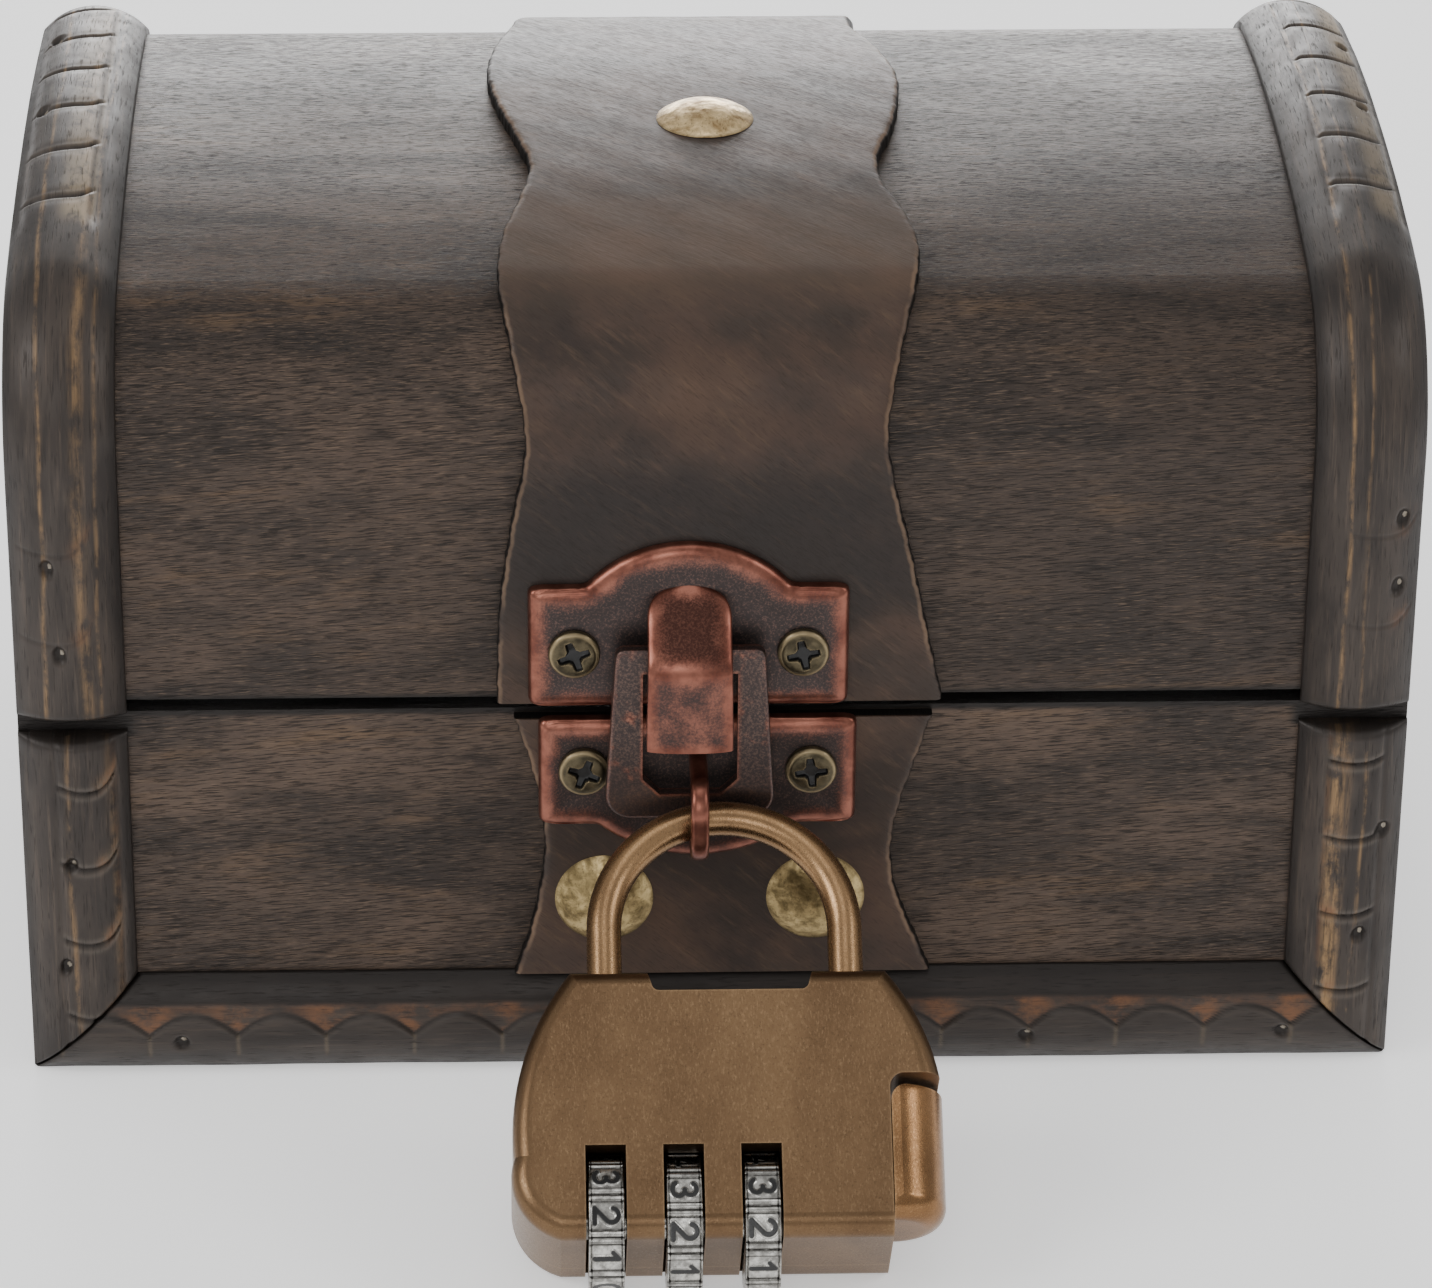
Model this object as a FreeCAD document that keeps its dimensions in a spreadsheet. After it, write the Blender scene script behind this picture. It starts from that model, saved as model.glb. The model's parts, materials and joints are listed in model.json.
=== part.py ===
import FreeCAD, Part
import math
import os

Vector = FreeCAD.Vector
Rotation = FreeCAD.Rotation
Placement = FreeCAD.Placement
X_AXIS = Vector(1, 0, 0)
FRONT_TURN = Rotation(X_AXIS, 90)
BACK_TURN = Rotation(X_AXIS, -90)
SIDE_TURN = Rotation(Vector(0, 1, 0), 90)

# Driving dimensions in millimetres; the origin is the middle of the chest's underside, its front faces -Y
SIZES = [
    ("chest_width", 130.0),
    ("chest_depth", 85.6),
    ("base_height", 38.7),
    ("lid_gap", 1.2),
    ("lid_top", 82.4),
    ("crown_radius", 200.0),
    ("shoulder_radius", 16.5),
    ("moulding_width", 10.2),
    ("moulding_proud", 3.0),
    ("moulding_lip", 0.7),
    ("front_relief", 0.7),
    ("back_relief", 1.5),
    ("board", 5.0),
    ("bottom_board", 3.0),
    ("bent_panel", 3.5),
    ("strap_thick", 1.5),
    ("rivet_width", 9.3),
    ("rivet_rise", 1.5),
    ("rivet_shank", 2.0),
    ("hinge_place", 32.0),
    ("hinge_length", 16.0),
    ("leaf_height", 9.0),
    ("leaf_thick", 0.8),
    ("leaf_clear", 1.7),
    ("knuckle_width", 3.2),
    ("knuckle_slack", 0.15),
    ("pin_width", 1.4),
    ("pin_slack", 0.05),
    ("latch_middle", -2.5),
    ("upper_plate_shift", -0.1),
    ("lower_plate_shift", 0.8),
    ("plate_width", 29.7),
    ("plate_thick", 1.4),
    ("ear_height", 12.6),
    ("arch_rise", 4.4),
    ("arch_half", 9.5),
    ("bill_width", 8.0),
    ("bill_thick", 1.0),
    ("bill_stand", 5.7),
    ("loop_thick", 1.2),
    ("ring_width", 1.6),
    ("ring_wire", 1.3),
    ("screw_head", 4.8),
    ("screw_shank", 2.2),
    ("lock_middle", 0.4),
    ("lock_tilt", 37.0),
    ("shackle_wire", 3.2),
    ("shackle_half", 11.1),
    ("shackle_rise", 0.5),
    ("case_top", 16.8),
    ("case_bottom", 42.2),
    ("case_front", 6.5),
    ("case_thick", 14.0),
    ("dial_width", 3.25),
    ("dial_radius", 6.5),
    ("dial_pitch", 7.0),
    ("dial_bore", 2.6),
    ("spindle_width", 2.4),
    ("spindle_length", 24.0),
    ("slider_height", 12.4),
    ("fit_gap", 0.1),
    ("bore_slack", 0.02),
]

doc = FreeCAD.newDocument("treasure_chest")
sheet = doc.addObject("Spreadsheet::Sheet", "Sizes")
for row, (alias, value) in enumerate(SIZES, start=1):
    sheet.set(f"A{row}", alias)
    sheet.set(f"B{row}", str(value))
    sheet.setAlias(f"B{row}", alias)
doc.recompute()
nodes = []


def size(alias):
    """Number in the sheet's cell of this name."""
    return float(sheet.get(alias))


def bind(target, **expressions):
    """Tie properties of an object to the sheet; plain aliases become cell references."""
    for prop, text in expressions.items():
        for alias, _ in sorted(SIZES, key=lambda item: -len(item[0])):
            text = text.replace(f"[{alias}]", f"Sizes.{alias}")
        target.setExpression(prop, text)
    return target


def node(target, label):
    """Give a finished piece its name and keep it for writing."""
    target.Label = label
    nodes.append(target)
    return target


def box(name, corner, length, width, height):
    """Block whose sides are bound to the sheet."""
    block = doc.addObject("Part::Box", name)
    bind(block, Length=length, Width=width, Height=height)
    block.Placement = Placement(Vector(*corner), Rotation())
    return block


def rod(name, start, turn, radius, length):
    """Round bar from a start point along the turned Z axis."""
    bar = doc.addObject("Part::Cylinder", name)
    bind(bar, Radius=radius, Height=length)
    bar.Placement = Placement(Vector(*start), turn)
    return bar


def joined(name, kind, members):
    """Several shapes as one compound or one fused solid."""
    group = doc.addObject(kind, name)
    if kind == "Part::Compound":
        group.Links = members
    else:
        group.Shapes = members
    return group


def cut(name, base, tools):
    """Base shape with the tools taken away."""
    result = doc.addObject("Part::Cut", name)
    result.Base = base
    result.Tool = tools[0] if len(tools) == 1 else joined(f"{name}_tools", "Part::Compound", tools)
    return result


def new_body(name):
    return doc.addObject("PartDesign::Body", name)


def sketch_on(body, role, name, offset=0.0):
    """Empty sketch on one of the body's own origin planes, moved along that plane's normal."""
    sketch = body.newObject("Sketcher::SketchObject", name)
    plane = [item for item in body.Origin.OriginFeatures if item.Role == role][0]
    sketch.AttachmentSupport = [(plane, "")]
    sketch.MapMode = "FlatFace"
    sketch.AttachmentOffset = Placement(Vector(0, 0, offset), Rotation())
    return sketch


def draw(sketch, path):
    """Lines (two points) and arcs (three points) in the sketch's plane."""
    for points in path:
        spots = [Vector(u, v, 0) for u, v in points]
        if len(spots) == 2:
            sketch.addGeometry(Part.LineSegment(*spots), False)
        else:
            sketch.addGeometry(Part.Arc(*spots), False)
    return sketch


def polygon(points):
    """Closed chain of lines through the points."""
    return [(points[i - 1], points[i]) for i in range(len(points))]


def rounded(corners):
    """Closed chain of lines with arcs at corners given as (u, v, radius)."""
    count = len(corners)
    starts, ends, middles = [], [], []
    for i, (u, v, radius) in enumerate(corners):
        here = Vector(u, v, 0)
        back = Vector(*corners[i - 1][:2], 0).sub(here)
        ahead = Vector(*corners[(i + 1) % count][:2], 0).sub(here)
        half = back.getAngle(ahead) / 2
        back.normalize()
        ahead.normalize()
        reach = radius / math.tan(half)
        middle = here
        if radius:
            bisector = back.add(ahead)
            bisector.normalize()
            middle = here.add(bisector.multiply(radius / math.sin(half) - radius))
        starts.append(here.add(back.multiply(reach)))
        ends.append(here.add(ahead.multiply(reach)))
        middles.append(middle)
    path = []
    for i in range(count):
        if corners[i][2]:
            path.append([(p.x, p.y) for p in (starts[i], middles[i], ends[i])])
        after = starts[(i + 1) % count]
        path.append([(ends[i].x, ends[i].y), (after.x, after.y)])
    return path


def pad(body, sketch, length, both=False, back=False):
    """Pad of a sketch, its length bound to the sheet."""
    feature = body.newObject("PartDesign::Pad", f"{sketch.Name}_pad")
    feature.Profile = sketch
    bind(feature, Length=length)
    feature.Midplane = both
    feature.Reversed = back
    sketch.Visibility = False
    doc.recompute()
    return feature


def pocket(body, sketch, length=None, back=False):
    """Pocket of a sketch, through everything both ways unless a length is given."""
    before = body.Shape.Volume
    feature = body.newObject("PartDesign::Pocket", f"{sketch.Name}_pocket")
    feature.Profile = sketch
    if length is None:
        feature.Type = "ThroughAll"
        feature.Midplane = True
    else:
        bind(feature, Length=length)
    feature.Reversed = back
    doc.recompute()
    if not body.Shape.Volume < before - 1e-6:
        raise ValueError(f"{sketch.Name} cuts nothing")
    return feature


def soften(body, feature, radius, wanted):
    """Fillet of the feature's edges that the test picks."""
    edges = [f"Edge{i}" for i, edge in enumerate(feature.Shape.Edges, start=1) if wanted(edge)]
    fillet = body.newObject("PartDesign::Fillet", f"{feature.Name}_fillet")
    fillet.Base = (feature, edges)
    fillet.Radius = radius
    doc.recompute()
    return fillet


def on_plane(axis, value):
    """Test for edges that lie wholly in the plane where the axis has this value."""
    return lambda edge: all(abs(getattr(p, axis) - value) < 1e-4 for p in edge.discretize(5))


def along_depth(edge):
    """Test for straight edges that run from front to back."""
    return abs(edge.tangentAt(edge.FirstParameter).y) > 0.999


# Places worked out from the driving dimensions
HALF_W = size("chest_width") / 2
HALF_D = size("chest_depth") / 2
FACE = HALF_D - size("moulding_proud")
LID_LOW = size("base_height") + size("lid_gap")
JOINT_Z = size("base_height") + size("lid_gap") / 2
STRAP_FACE = FACE + size("strap_thick")
PLATE_FACE = STRAP_FACE + size("plate_thick")
MOULDING = size("moulding_width")
LATCH_X = size("latch_middle")
UPPER_X = LATCH_X + size("upper_plate_shift")
LOWER_X = LATCH_X + size("lower_plate_shift")


def arch(inset, low):
    """Loaf-shaped lid section, `inset` inside the hoops' outer face, front edge to back edge."""
    half = HALF_D - inset
    top = size("lid_top") - inset
    crown = size("crown_radius") - inset
    shoulder = size("shoulder_radius") - inset
    centre = half - shoulder
    spring = top - crown + math.sqrt((crown - shoulder) ** 2 - centre ** 2)
    lean = math.atan2(spring - top + crown, centre)

    def on_shoulder(angle):
        return (centre + shoulder * math.cos(angle), spring + shoulder * math.sin(angle))

    middle, meet = on_shoulder(lean / 2), on_shoulder(lean)
    mirror = [(-y, z) for y, z in (middle, meet)]
    return [
        ((-half, low), (-half, spring)),
        ((-half, spring), mirror[0], mirror[1]),
        (mirror[1], (0.0, top), meet),
        (meet, middle, (half, spring)),
        ((half, spring), (half, low)),
    ]


def band(outer_inset, inner_inset, low):
    """Closed section between two arches."""
    outer, inner = arch(outer_inset, low), arch(inner_inset, low)
    ends = [(outer[0][0], inner[0][0]), (outer[-1][-1], inner[-1][-1])]
    return outer + inner + ends


def moulding_profile(middle, face, sign):
    """Flattened half-round: a straight lip, then an arc; `sign` points away from the board."""
    half = MOULDING / 2
    lip = face + sign * size("moulding_lip")
    crest = face + sign * size("moulding_proud")
    left, right = middle - half, middle + half
    return [
        ((left, face), (left, lip)),
        ((left, lip), (middle, crest), (right, lip)),
        ((right, lip), (right, face)),
        ((right, face), (left, face)),
    ]


# Fasteners: domed rivets and pan-head screws with a cross recess
def rivet(name, place, turn, length):
    """Domed cap on a plain shank; the cap's flat underside is at the place, its dome along +Z."""
    half, rise = size("rivet_width") / 2, size("rivet_rise")
    ball = (half ** 2 + rise ** 2) / (2 * rise)
    cap = doc.addObject("Part::Sphere", f"{name}_cap")
    cap.Radius = ball
    cap.Angle1 = math.degrees(math.asin((ball - rise) / ball))
    cap.Placement = Placement(Vector(0, 0, rise - ball), Rotation())
    shank = rod(f"{name}_shank", (0, 0, -length), Rotation(), "[rivet_shank] / 2", str(length))
    whole = joined(name, "Part::MultiFuse", [cap, shank])
    whole.Placement = Placement(Vector(*place), turn)
    return whole


def screw(name, place, turn, head, shank, length):
    """Low domed head with a cross recess, head underside at the place, shank along -Z."""
    rise = head * 0.25
    ball = ((head / 2) ** 2 + rise ** 2) / (2 * rise)
    cap = doc.addObject("Part::Sphere", f"{name}_cap")
    cap.Radius = ball
    cap.Angle1 = math.degrees(math.asin((ball - rise) / ball))
    cap.Placement = Placement(Vector(0, 0, rise - ball), Rotation())
    stem = rod(f"{name}_stem", (0, 0, -length), Rotation(), str(shank / 2), str(length))
    whole = joined(f"{name}_blank", "Part::MultiFuse", [cap, stem])
    arm, wall = head * 0.6, head * 0.17
    bars = []
    for i, turned in enumerate((0, 90)):
        bar = box(f"{name}_bar{i}", (0, 0, 0), str(arm), str(wall), str(rise))
        spin = Rotation(Vector(0, 0, 1), turned)
        corner = spin.multVec(Vector(-arm / 2, -wall / 2, rise * 0.3))
        bar.Placement = Placement(corner, spin)
        bars.append(bar)
    result = cut(name, whole, bars)
    result.Placement = Placement(Vector(*place), turn)
    return result


def bores(name, spots, turn, radius, length):
    """One clearance hole at each spot, along the turned Z axis."""
    return [rod(f"{name}{i}", spot, turn, radius, length) for i, spot in enumerate(spots)]


# Fastener places
RIVET_Z = 18.8
RIVET_MIDDLE = -0.4
RIVET_SPREAD = 10.0
UPPER_SCREW_Z = 46.0
LOWER_SCREW_Z = 33.5
SCREW_SPREAD = 10.6
SHANK_END = FACE - 3.0
END_GAP = 0.2
LID_RIVET_BORE = 4.0
base_rivets = [(RIVET_MIDDLE + x, -STRAP_FACE, RIVET_Z) for x in (-RIVET_SPREAD, RIVET_SPREAD)]
upper_screws = [(UPPER_X + x, -PLATE_FACE, UPPER_SCREW_Z) for x in (-SCREW_SPREAD, SCREW_SPREAD)]
lower_screws = [(LOWER_X + x, -PLATE_FACE, LOWER_SCREW_Z) for x in (-SCREW_SPREAD, SCREW_SPREAD)]
lid_rivet_z = size("lid_top") - size("moulding_proud") + size("strap_thick")

HINGE_Y = FACE + size("knuckle_width") / 2
LEAF_FACE = FACE + size("leaf_thick")
LEAF_SCREW_RISE = 6.0
LEAF_SCREW_SPREAD = 5.0
HINGE_SCREW_HEAD = 3.0
HINGE_SCREW_SHANK = 1.5
HINGE_SCREW_LENGTH = 3.6


def hinge_spots(height):
    """Screw places of both hinges' leaves at one height on the back."""
    spots = []
    for side in (-1, 1):
        for step in (-1, 1):
            spots.append((side * size("hinge_place") + step * LEAF_SCREW_SPREAD, LEAF_FACE, height))
    return spots


base_hinge_spots = hinge_spots(JOINT_Z - LEAF_SCREW_RISE)
lid_hinge_spots = hinge_spots(JOINT_Z + LEAF_SCREW_RISE)
HINGE_BORE = f"{HINGE_SCREW_SHANK / 2} + [bore_slack]"
RIVET_BORE = "[rivet_shank] / 2 + [bore_slack]"
SCREW_BORE = "[screw_shank] / 2 + [bore_slack]"
BORE_REACH = "8"


def front_bores(name, spots, radius):
    """Holes that run back from just before the front faces to the shank's end."""
    starts = [(x, -SHANK_END, z) for x, _, z in spots]
    return bores(name, starts, FRONT_TURN, radius, BORE_REACH)


def back_bores(name, spots):
    """Holes for hinge screws, open at the back face."""
    depth = HINGE_SCREW_LENGTH + size("fit_gap")
    starts = [(x, y - depth, z) for x, y, z in spots]
    return bores(name, starts, BACK_TURN, HINGE_BORE, BORE_REACH)


def lid_rivet_bore(name):
    """Upright hole for the rivet at the top of the lid."""
    return rod(name, (0, 0, lid_rivet_z - LID_RIVET_BORE), Rotation(), RIVET_BORE, BORE_REACH)


# Base box: five boards
def base_boards():
    """Front and back run the full width; the ends and the floor fit between them."""
    inner = FACE - size("board")
    front = box("front_board", (-HALF_W, -FACE, 0), "[chest_width]", "[board]", "[base_height]")
    holes = front_bores("front_rivet_bore", base_rivets, RIVET_BORE)
    holes += front_bores("front_screw_bore", lower_screws, SCREW_BORE)
    node(cut("front_drilled", front, holes), "base_front_panel")
    back = box("back_board", (-HALF_W, inner, 0), "[chest_width]", "[board]", "[base_height]")
    node(cut("back_drilled", back, back_bores("back_bore", base_hinge_spots)), "base_back_panel")
    depth = "[chest_depth] - 2 * [moulding_proud] - 2 * [board]"
    rest = "[base_height] + [lid_gap] - [fit_gap]"
    for name, left in (("left", -HALF_W), ("right", HALF_W - size("board"))):
        end = box(f"base_{name}", (left, -inner, 0), "[board]", depth, rest)
        node(end, f"base_{name}_end")
    corner = (size("board") - HALF_W, -inner, 0)
    floor = box("floor_board", corner, "[chest_width] - 2 * [board]", depth, "[bottom_board]")
    node(floor, "base_bottom_panel")


# Mouldings round the base: two posts and a mitred rail on the front and on the back
def base_mouldings(name, sign, top):
    """Posts stand on the rail's mitred ends; `sign` is the side that the mouldings face."""
    inner = HALF_W - MOULDING
    for side_name, side in (("left", -1), ("right", 1)):
        body = new_body(f"{name}_{side_name}_post")
        profile = sketch_on(body, "XY_Plane", f"{name}_{side_name}_profile")
        draw(profile, moulding_profile(side * (HALF_W - MOULDING / 2), sign * FACE, sign))
        pad(body, profile, top)
        mitre = sketch_on(body, "XZ_Plane", f"{name}_{side_name}_mitre")
        draw(mitre, polygon([(side * HALF_W, 0), (side * inner, MOULDING), (side * inner, 0)]))
        pocket(body, mitre)
        node(body, f"base_{name}_{side_name}_post")
    body = new_body(f"{name}_rail")
    profile = sketch_on(body, "YZ_Plane", f"{name}_rail_profile")
    across = [[(v, u) for u, v in part] for part in moulding_profile(MOULDING / 2, sign * FACE, sign)]
    draw(profile, across)
    pad(body, profile, "[chest_width]", both=True)
    for side_name, side in (("left", -1), ("right", 1)):
        mitre = sketch_on(body, "XZ_Plane", f"{name}_rail_{side_name}_mitre")
        draw(mitre, polygon([(side * HALF_W, 0), (side * inner, MOULDING), (side * HALF_W, MOULDING)]))
        pocket(body, mitre)
    node(body, f"base_{name}_rail")


# Straps: thin bent wood with waisted edges, one over the lid and one down the base's front
STRAP_CLEAR = 25.0
STRAP_TURN_Z = 66.0
BASE_STRAP_EDGES = {"left": (18.9, 16.0, 18.8), "right": (20.6, 16.7, 20.2)}
# Half widths of the lid strap's two edges: up its front by height, then over the lid by depth
STRAP_UPRIGHT = {
    "left": [(20.4, LID_LOW - 1), (20.0, 51.0), (19.0, 59.0), (17.7, STRAP_TURN_Z)],
    "right": [(21.2, LID_LOW - 1), (19.4, 48.5), (17.3, 58.5), (15.9, STRAP_TURN_Z)],
}
STRAP_OVER = {
    "left": [(17.6, -44.8), (17.7, -41.2), (19.0, -36.2), (19.9, -29.0), (18.4, -17.8), (16.9, -9.3),
             (18.2, -2.6), (20.3, 7.5), (20.6, 16.0), (18.6, 29.3), (17.7, 41.2), (17.6, 44.8)],
    "right": [(15.7, -44.8), (15.9, -41.2), (17.3, -35.5), (18.9, -27.5), (18.2, -19.6), (16.1, -10.0),
              (17.3, -2.0), (19.1, 9.0), (18.0, 18.0), (15.6, 29.3), (15.9, 41.2), (15.7, 44.8)],
}


def base_strap():
    """Flat strap between the rail and the joint, its sides drawn in as arcs."""
    low, high = MOULDING + 0.2, size("base_height") - 0.5
    body = new_body("base_strap_body")
    outline = sketch_on(body, "XZ_Plane", "base_strap_outline", FACE)
    middle = (low + high) / 2
    left_low, left_waist, left_high = BASE_STRAP_EDGES["left"]
    right_low, right_waist, right_high = BASE_STRAP_EDGES["right"]
    draw(outline, [
        ((-left_low, low), (right_low, low)),
        ((right_low, low), (right_waist, middle), (right_high, high)),
        ((right_high, high), (-left_high, high)),
        ((-left_high, high), (-left_waist, middle), (-left_low, low)),
    ])
    pad(body, outline, "[strap_thick]")
    holes = front_bores("strap_rivet_bore", base_rivets, RIVET_BORE)
    holes += front_bores("strap_screw_bore", lower_screws, SCREW_BORE)
    node(cut("base_strap_drilled", body, holes), "base_strap")


def wavy_waste(side, rows):
    """Closed outline between a smooth wave through (half width, place) rows and the clear width."""
    curve = Part.BSplineCurve()
    curve.interpolate([Vector(side * half, place, 0) for half, place in rows])
    (first, low), (last, high) = rows[0], rows[-1]
    clear = side * STRAP_CLEAR
    lines = [
        ((side * first, low), (clear, low)),
        ((clear, low), (clear, high)),
        ((clear, high), (side * last, high)),
    ]
    return curve, lines


def lid_strap():
    """Arched band whose edges swell and narrow along its length."""
    body = new_body("lid_strap_body")
    section = sketch_on(body, "YZ_Plane", "lid_strap_section")
    outer = size("moulding_proud") - size("strap_thick")
    draw(section, band(outer, size("moulding_proud"), LID_LOW + size("fit_gap")))
    pad(body, section, str(2 * STRAP_CLEAR - 2), both=True)
    above = size("lid_top") + 1
    fall = f"[lid_top] + 1 - {STRAP_TURN_Z}"
    for name, side in (("left", -1), ("right", 1)):
        cuts = (("XZ_Plane", 0, STRAP_UPRIGHT[name], None), ("XY_Plane", above, STRAP_OVER[name], fall))
        for plane, offset, rows, depth in cuts:
            sketch = sketch_on(body, plane, f"lid_strap_{name}_{plane[:2]}", offset)
            curve, lines = wavy_waste(side, rows)
            sketch.addGeometry(curve, False)
            draw(sketch, lines)
            pocket(body, sketch, depth)
    holes = front_bores("lid_strap_screw_bore", upper_screws, SCREW_BORE)
    holes += [lid_rivet_bore("lid_strap_rivet_bore")]
    node(cut("lid_strap_drilled", body, holes), "lid_strap")


# Lid: two loaf-shaped end boards, a bent panel over them and a half-round hoop at each end
def lid_shell():
    body = new_body("lid_panel_body")
    section = sketch_on(body, "YZ_Plane", "lid_panel_section")
    proud = size("moulding_proud")
    draw(section, band(proud, proud + size("bent_panel"), LID_LOW))
    pad(body, section, "[chest_width]", both=True)
    holes = front_bores("lid_screw_bore", upper_screws, SCREW_BORE)
    holes += back_bores("lid_hinge_bore", lid_hinge_spots)
    holes += [lid_rivet_bore("lid_panel_rivet_bore")]
    node(cut("lid_panel_drilled", body, holes), "lid_curved_panel")
    for name, side in (("left", -1), ("right", 1)):
        end = new_body(f"lid_{name}_end_body")
        offset = HALF_W - size("board") if side > 0 else -HALF_W
        outline = sketch_on(end, "YZ_Plane", f"lid_{name}_end_outline", offset)
        edges = arch(proud + size("bent_panel"), LID_LOW)
        draw(outline, edges + [(edges[-1][-1], edges[0][0])])
        pad(end, outline, "[board]")
        node(end, f"lid_{name}_end")


def lid_hoops():
    """Half-round moulding carried over the lid's section, from the front edge to the back edge."""
    for name, side in (("left", -1), ("right", 1)):
        body = new_body(f"lid_{name}_hoop_body")
        route = sketch_on(body, "YZ_Plane", f"lid_{name}_hoop_route", side * (HALF_W - MOULDING / 2))
        draw(route, arch(size("moulding_proud"), LID_LOW))
        profile = sketch_on(body, "XY_Plane", f"lid_{name}_hoop_profile", LID_LOW)
        draw(profile, moulding_profile(side * (HALF_W - MOULDING / 2), -FACE, -1))
        doc.recompute()
        sweep = body.newObject("PartDesign::AdditivePipe", f"lid_{name}_hoop_sweep")
        sweep.Profile = profile
        sweep.Spine = (route, [f"Edge{i}" for i in range(1, len(route.Shape.Edges) + 1)])
        doc.recompute()
        node(body, f"lid_{name}_hoop")


# Butt hinges on the back: two leaves and a pin each
def hinge(name, middle):
    """Leaves with interleaved knuckles on one pin; the middle knuckle belongs to the lid."""
    half = size("hinge_length") / 2
    third = size("hinge_length") / 3
    slack = size("knuckle_slack")
    clear = size("leaf_clear")
    spans = {
        "base": [(-half, third - slack), (half - third + slack, third - slack)],
        "lid": [(slack - third / 2, third - 2 * slack)],
    }
    spots = {"base": base_hinge_spots, "lid": lid_hinge_spots}
    lows = {
        "base": (JOINT_Z - clear - size("leaf_height"), JOINT_Z - clear),
        "lid": (JOINT_Z + clear, JOINT_Z),
    }
    bearing = "[knuckle_width] / 2"
    bore = "[pin_width] / 2 + [pin_slack]"
    for part, (plate_low, tab_low) in lows.items():
        corner = (middle - half, FACE, plate_low)
        pieces = [box(f"{name}_{part}_plate", corner, "[hinge_length]", "[leaf_thick]", "[leaf_height]")]
        for i, (start, length) in enumerate(spans[part]):
            place = (middle + start, HINGE_Y, JOINT_Z)
            pieces.append(rod(f"{name}_{part}_knuckle{i}", place, SIDE_TURN, bearing, str(length)))
            tab = (middle + start, FACE, tab_low)
            pieces.append(box(f"{name}_{part}_tab{i}", tab, str(length), "[leaf_thick]", "[leaf_clear]"))
        leaf = joined(f"{name}_{part}_blank", "Part::MultiFuse", pieces)
        place = (middle - half - 1, HINGE_Y, JOINT_Z)
        holes = [rod(f"{name}_{part}_bore", place, SIDE_TURN, bore, "[hinge_length] + 2")]
        near = [spot for spot in spots[part] if abs(spot[0] - middle) < half]
        holes += back_bores(f"{name}_{part}_screw_bore", near)
        node(cut(f"{name}_{part}_leaf", leaf, holes), f"{name}_{part}_leaf")
    place = (middle - half, HINGE_Y, JOINT_Z)
    node(rod(f"{name}_pin_rod", place, SIDE_TURN, "[pin_width] / 2", "[hinge_length]"), f"{name}_pin")


def fastener_groups():
    """Identical fasteners share one node, each a solid of its own."""
    shank = STRAP_FACE - SHANK_END - END_GAP
    rivets = [rivet(f"base_rivet{i}", spot, FRONT_TURN, shank) for i, spot in enumerate(base_rivets)]
    node(joined("base_rivet_group", "Part::Compound", rivets), "base_strap_rivets")
    lid_shank = LID_RIVET_BORE - END_GAP
    node(rivet("lid_rivet_piece", (0, 0, lid_rivet_z), Rotation(), lid_shank), "lid_strap_rivet")
    latch_screw = (size("screw_head"), size("screw_shank"), PLATE_FACE - SHANK_END - END_GAP)
    hinge_screw = (HINGE_SCREW_HEAD, HINGE_SCREW_SHANK, HINGE_SCREW_LENGTH)
    groups = [
        ("latch_upper", upper_screws, FRONT_TURN, latch_screw),
        ("latch_lower", lower_screws, FRONT_TURN, latch_screw),
        ("hinge_base", base_hinge_spots, BACK_TURN, hinge_screw),
        ("hinge_lid", lid_hinge_spots, BACK_TURN, hinge_screw),
    ]
    for name, spots, turn, measures in groups:
        members = [screw(f"{name}_screw{i}", spot, turn, *measures) for i, spot in enumerate(spots)]
        node(joined(f"{name}_screw_group", "Part::Compound", members), f"{name}_screws")


# Latch: stamped plates with eared outlines, a bill on the lid and a ring on the base
BILL_TOP = 53.2
BILL_FOLD = 47.2
BILL_LOW = 39.2
LOWER_EAR = 27.4
LOWER_RISE = 3.6
RING_LOW = 27.3
RING_HIGH = 35.7
RING_FRONT = 51.3
RING_BEND = 3.0
PLATE_CORNER = 1.2
PLATE_ROOT = PLATE_FACE - size("plate_thick") / 2


def plate_outline(straight, ear_end, arch_end):
    """Eared plate: a straight edge, ears and a round bulge on the other side."""
    half, bulge = size("plate_width") / 2, size("arch_half")
    return [
        ((-half, straight), (half, straight)),
        ((half, straight), (half, ear_end)),
        ((half, ear_end), (bulge, ear_end)),
        ((bulge, ear_end), (0.0, arch_end), (-bulge, ear_end)),
        ((-bulge, ear_end), (-half, ear_end)),
        ((-half, ear_end), (-half, straight)),
    ]


def latch_plate(name, straight, ear_end, arch_end):
    """Pressed plate with rounded ear corners and a rounded rim."""
    body = new_body(f"latch_{name}_body")
    outline = sketch_on(body, "XZ_Plane", f"latch_{name}_outline", STRAP_FACE)
    draw(outline, plate_outline(straight, ear_end, arch_end))
    blank = pad(body, outline, "[plate_thick]")
    corners = soften(body, blank, PLATE_CORNER, along_depth)
    soften(body, corners, size("plate_thick") * 0.5, on_plane("y", -PLATE_FACE))
    return body


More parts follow.
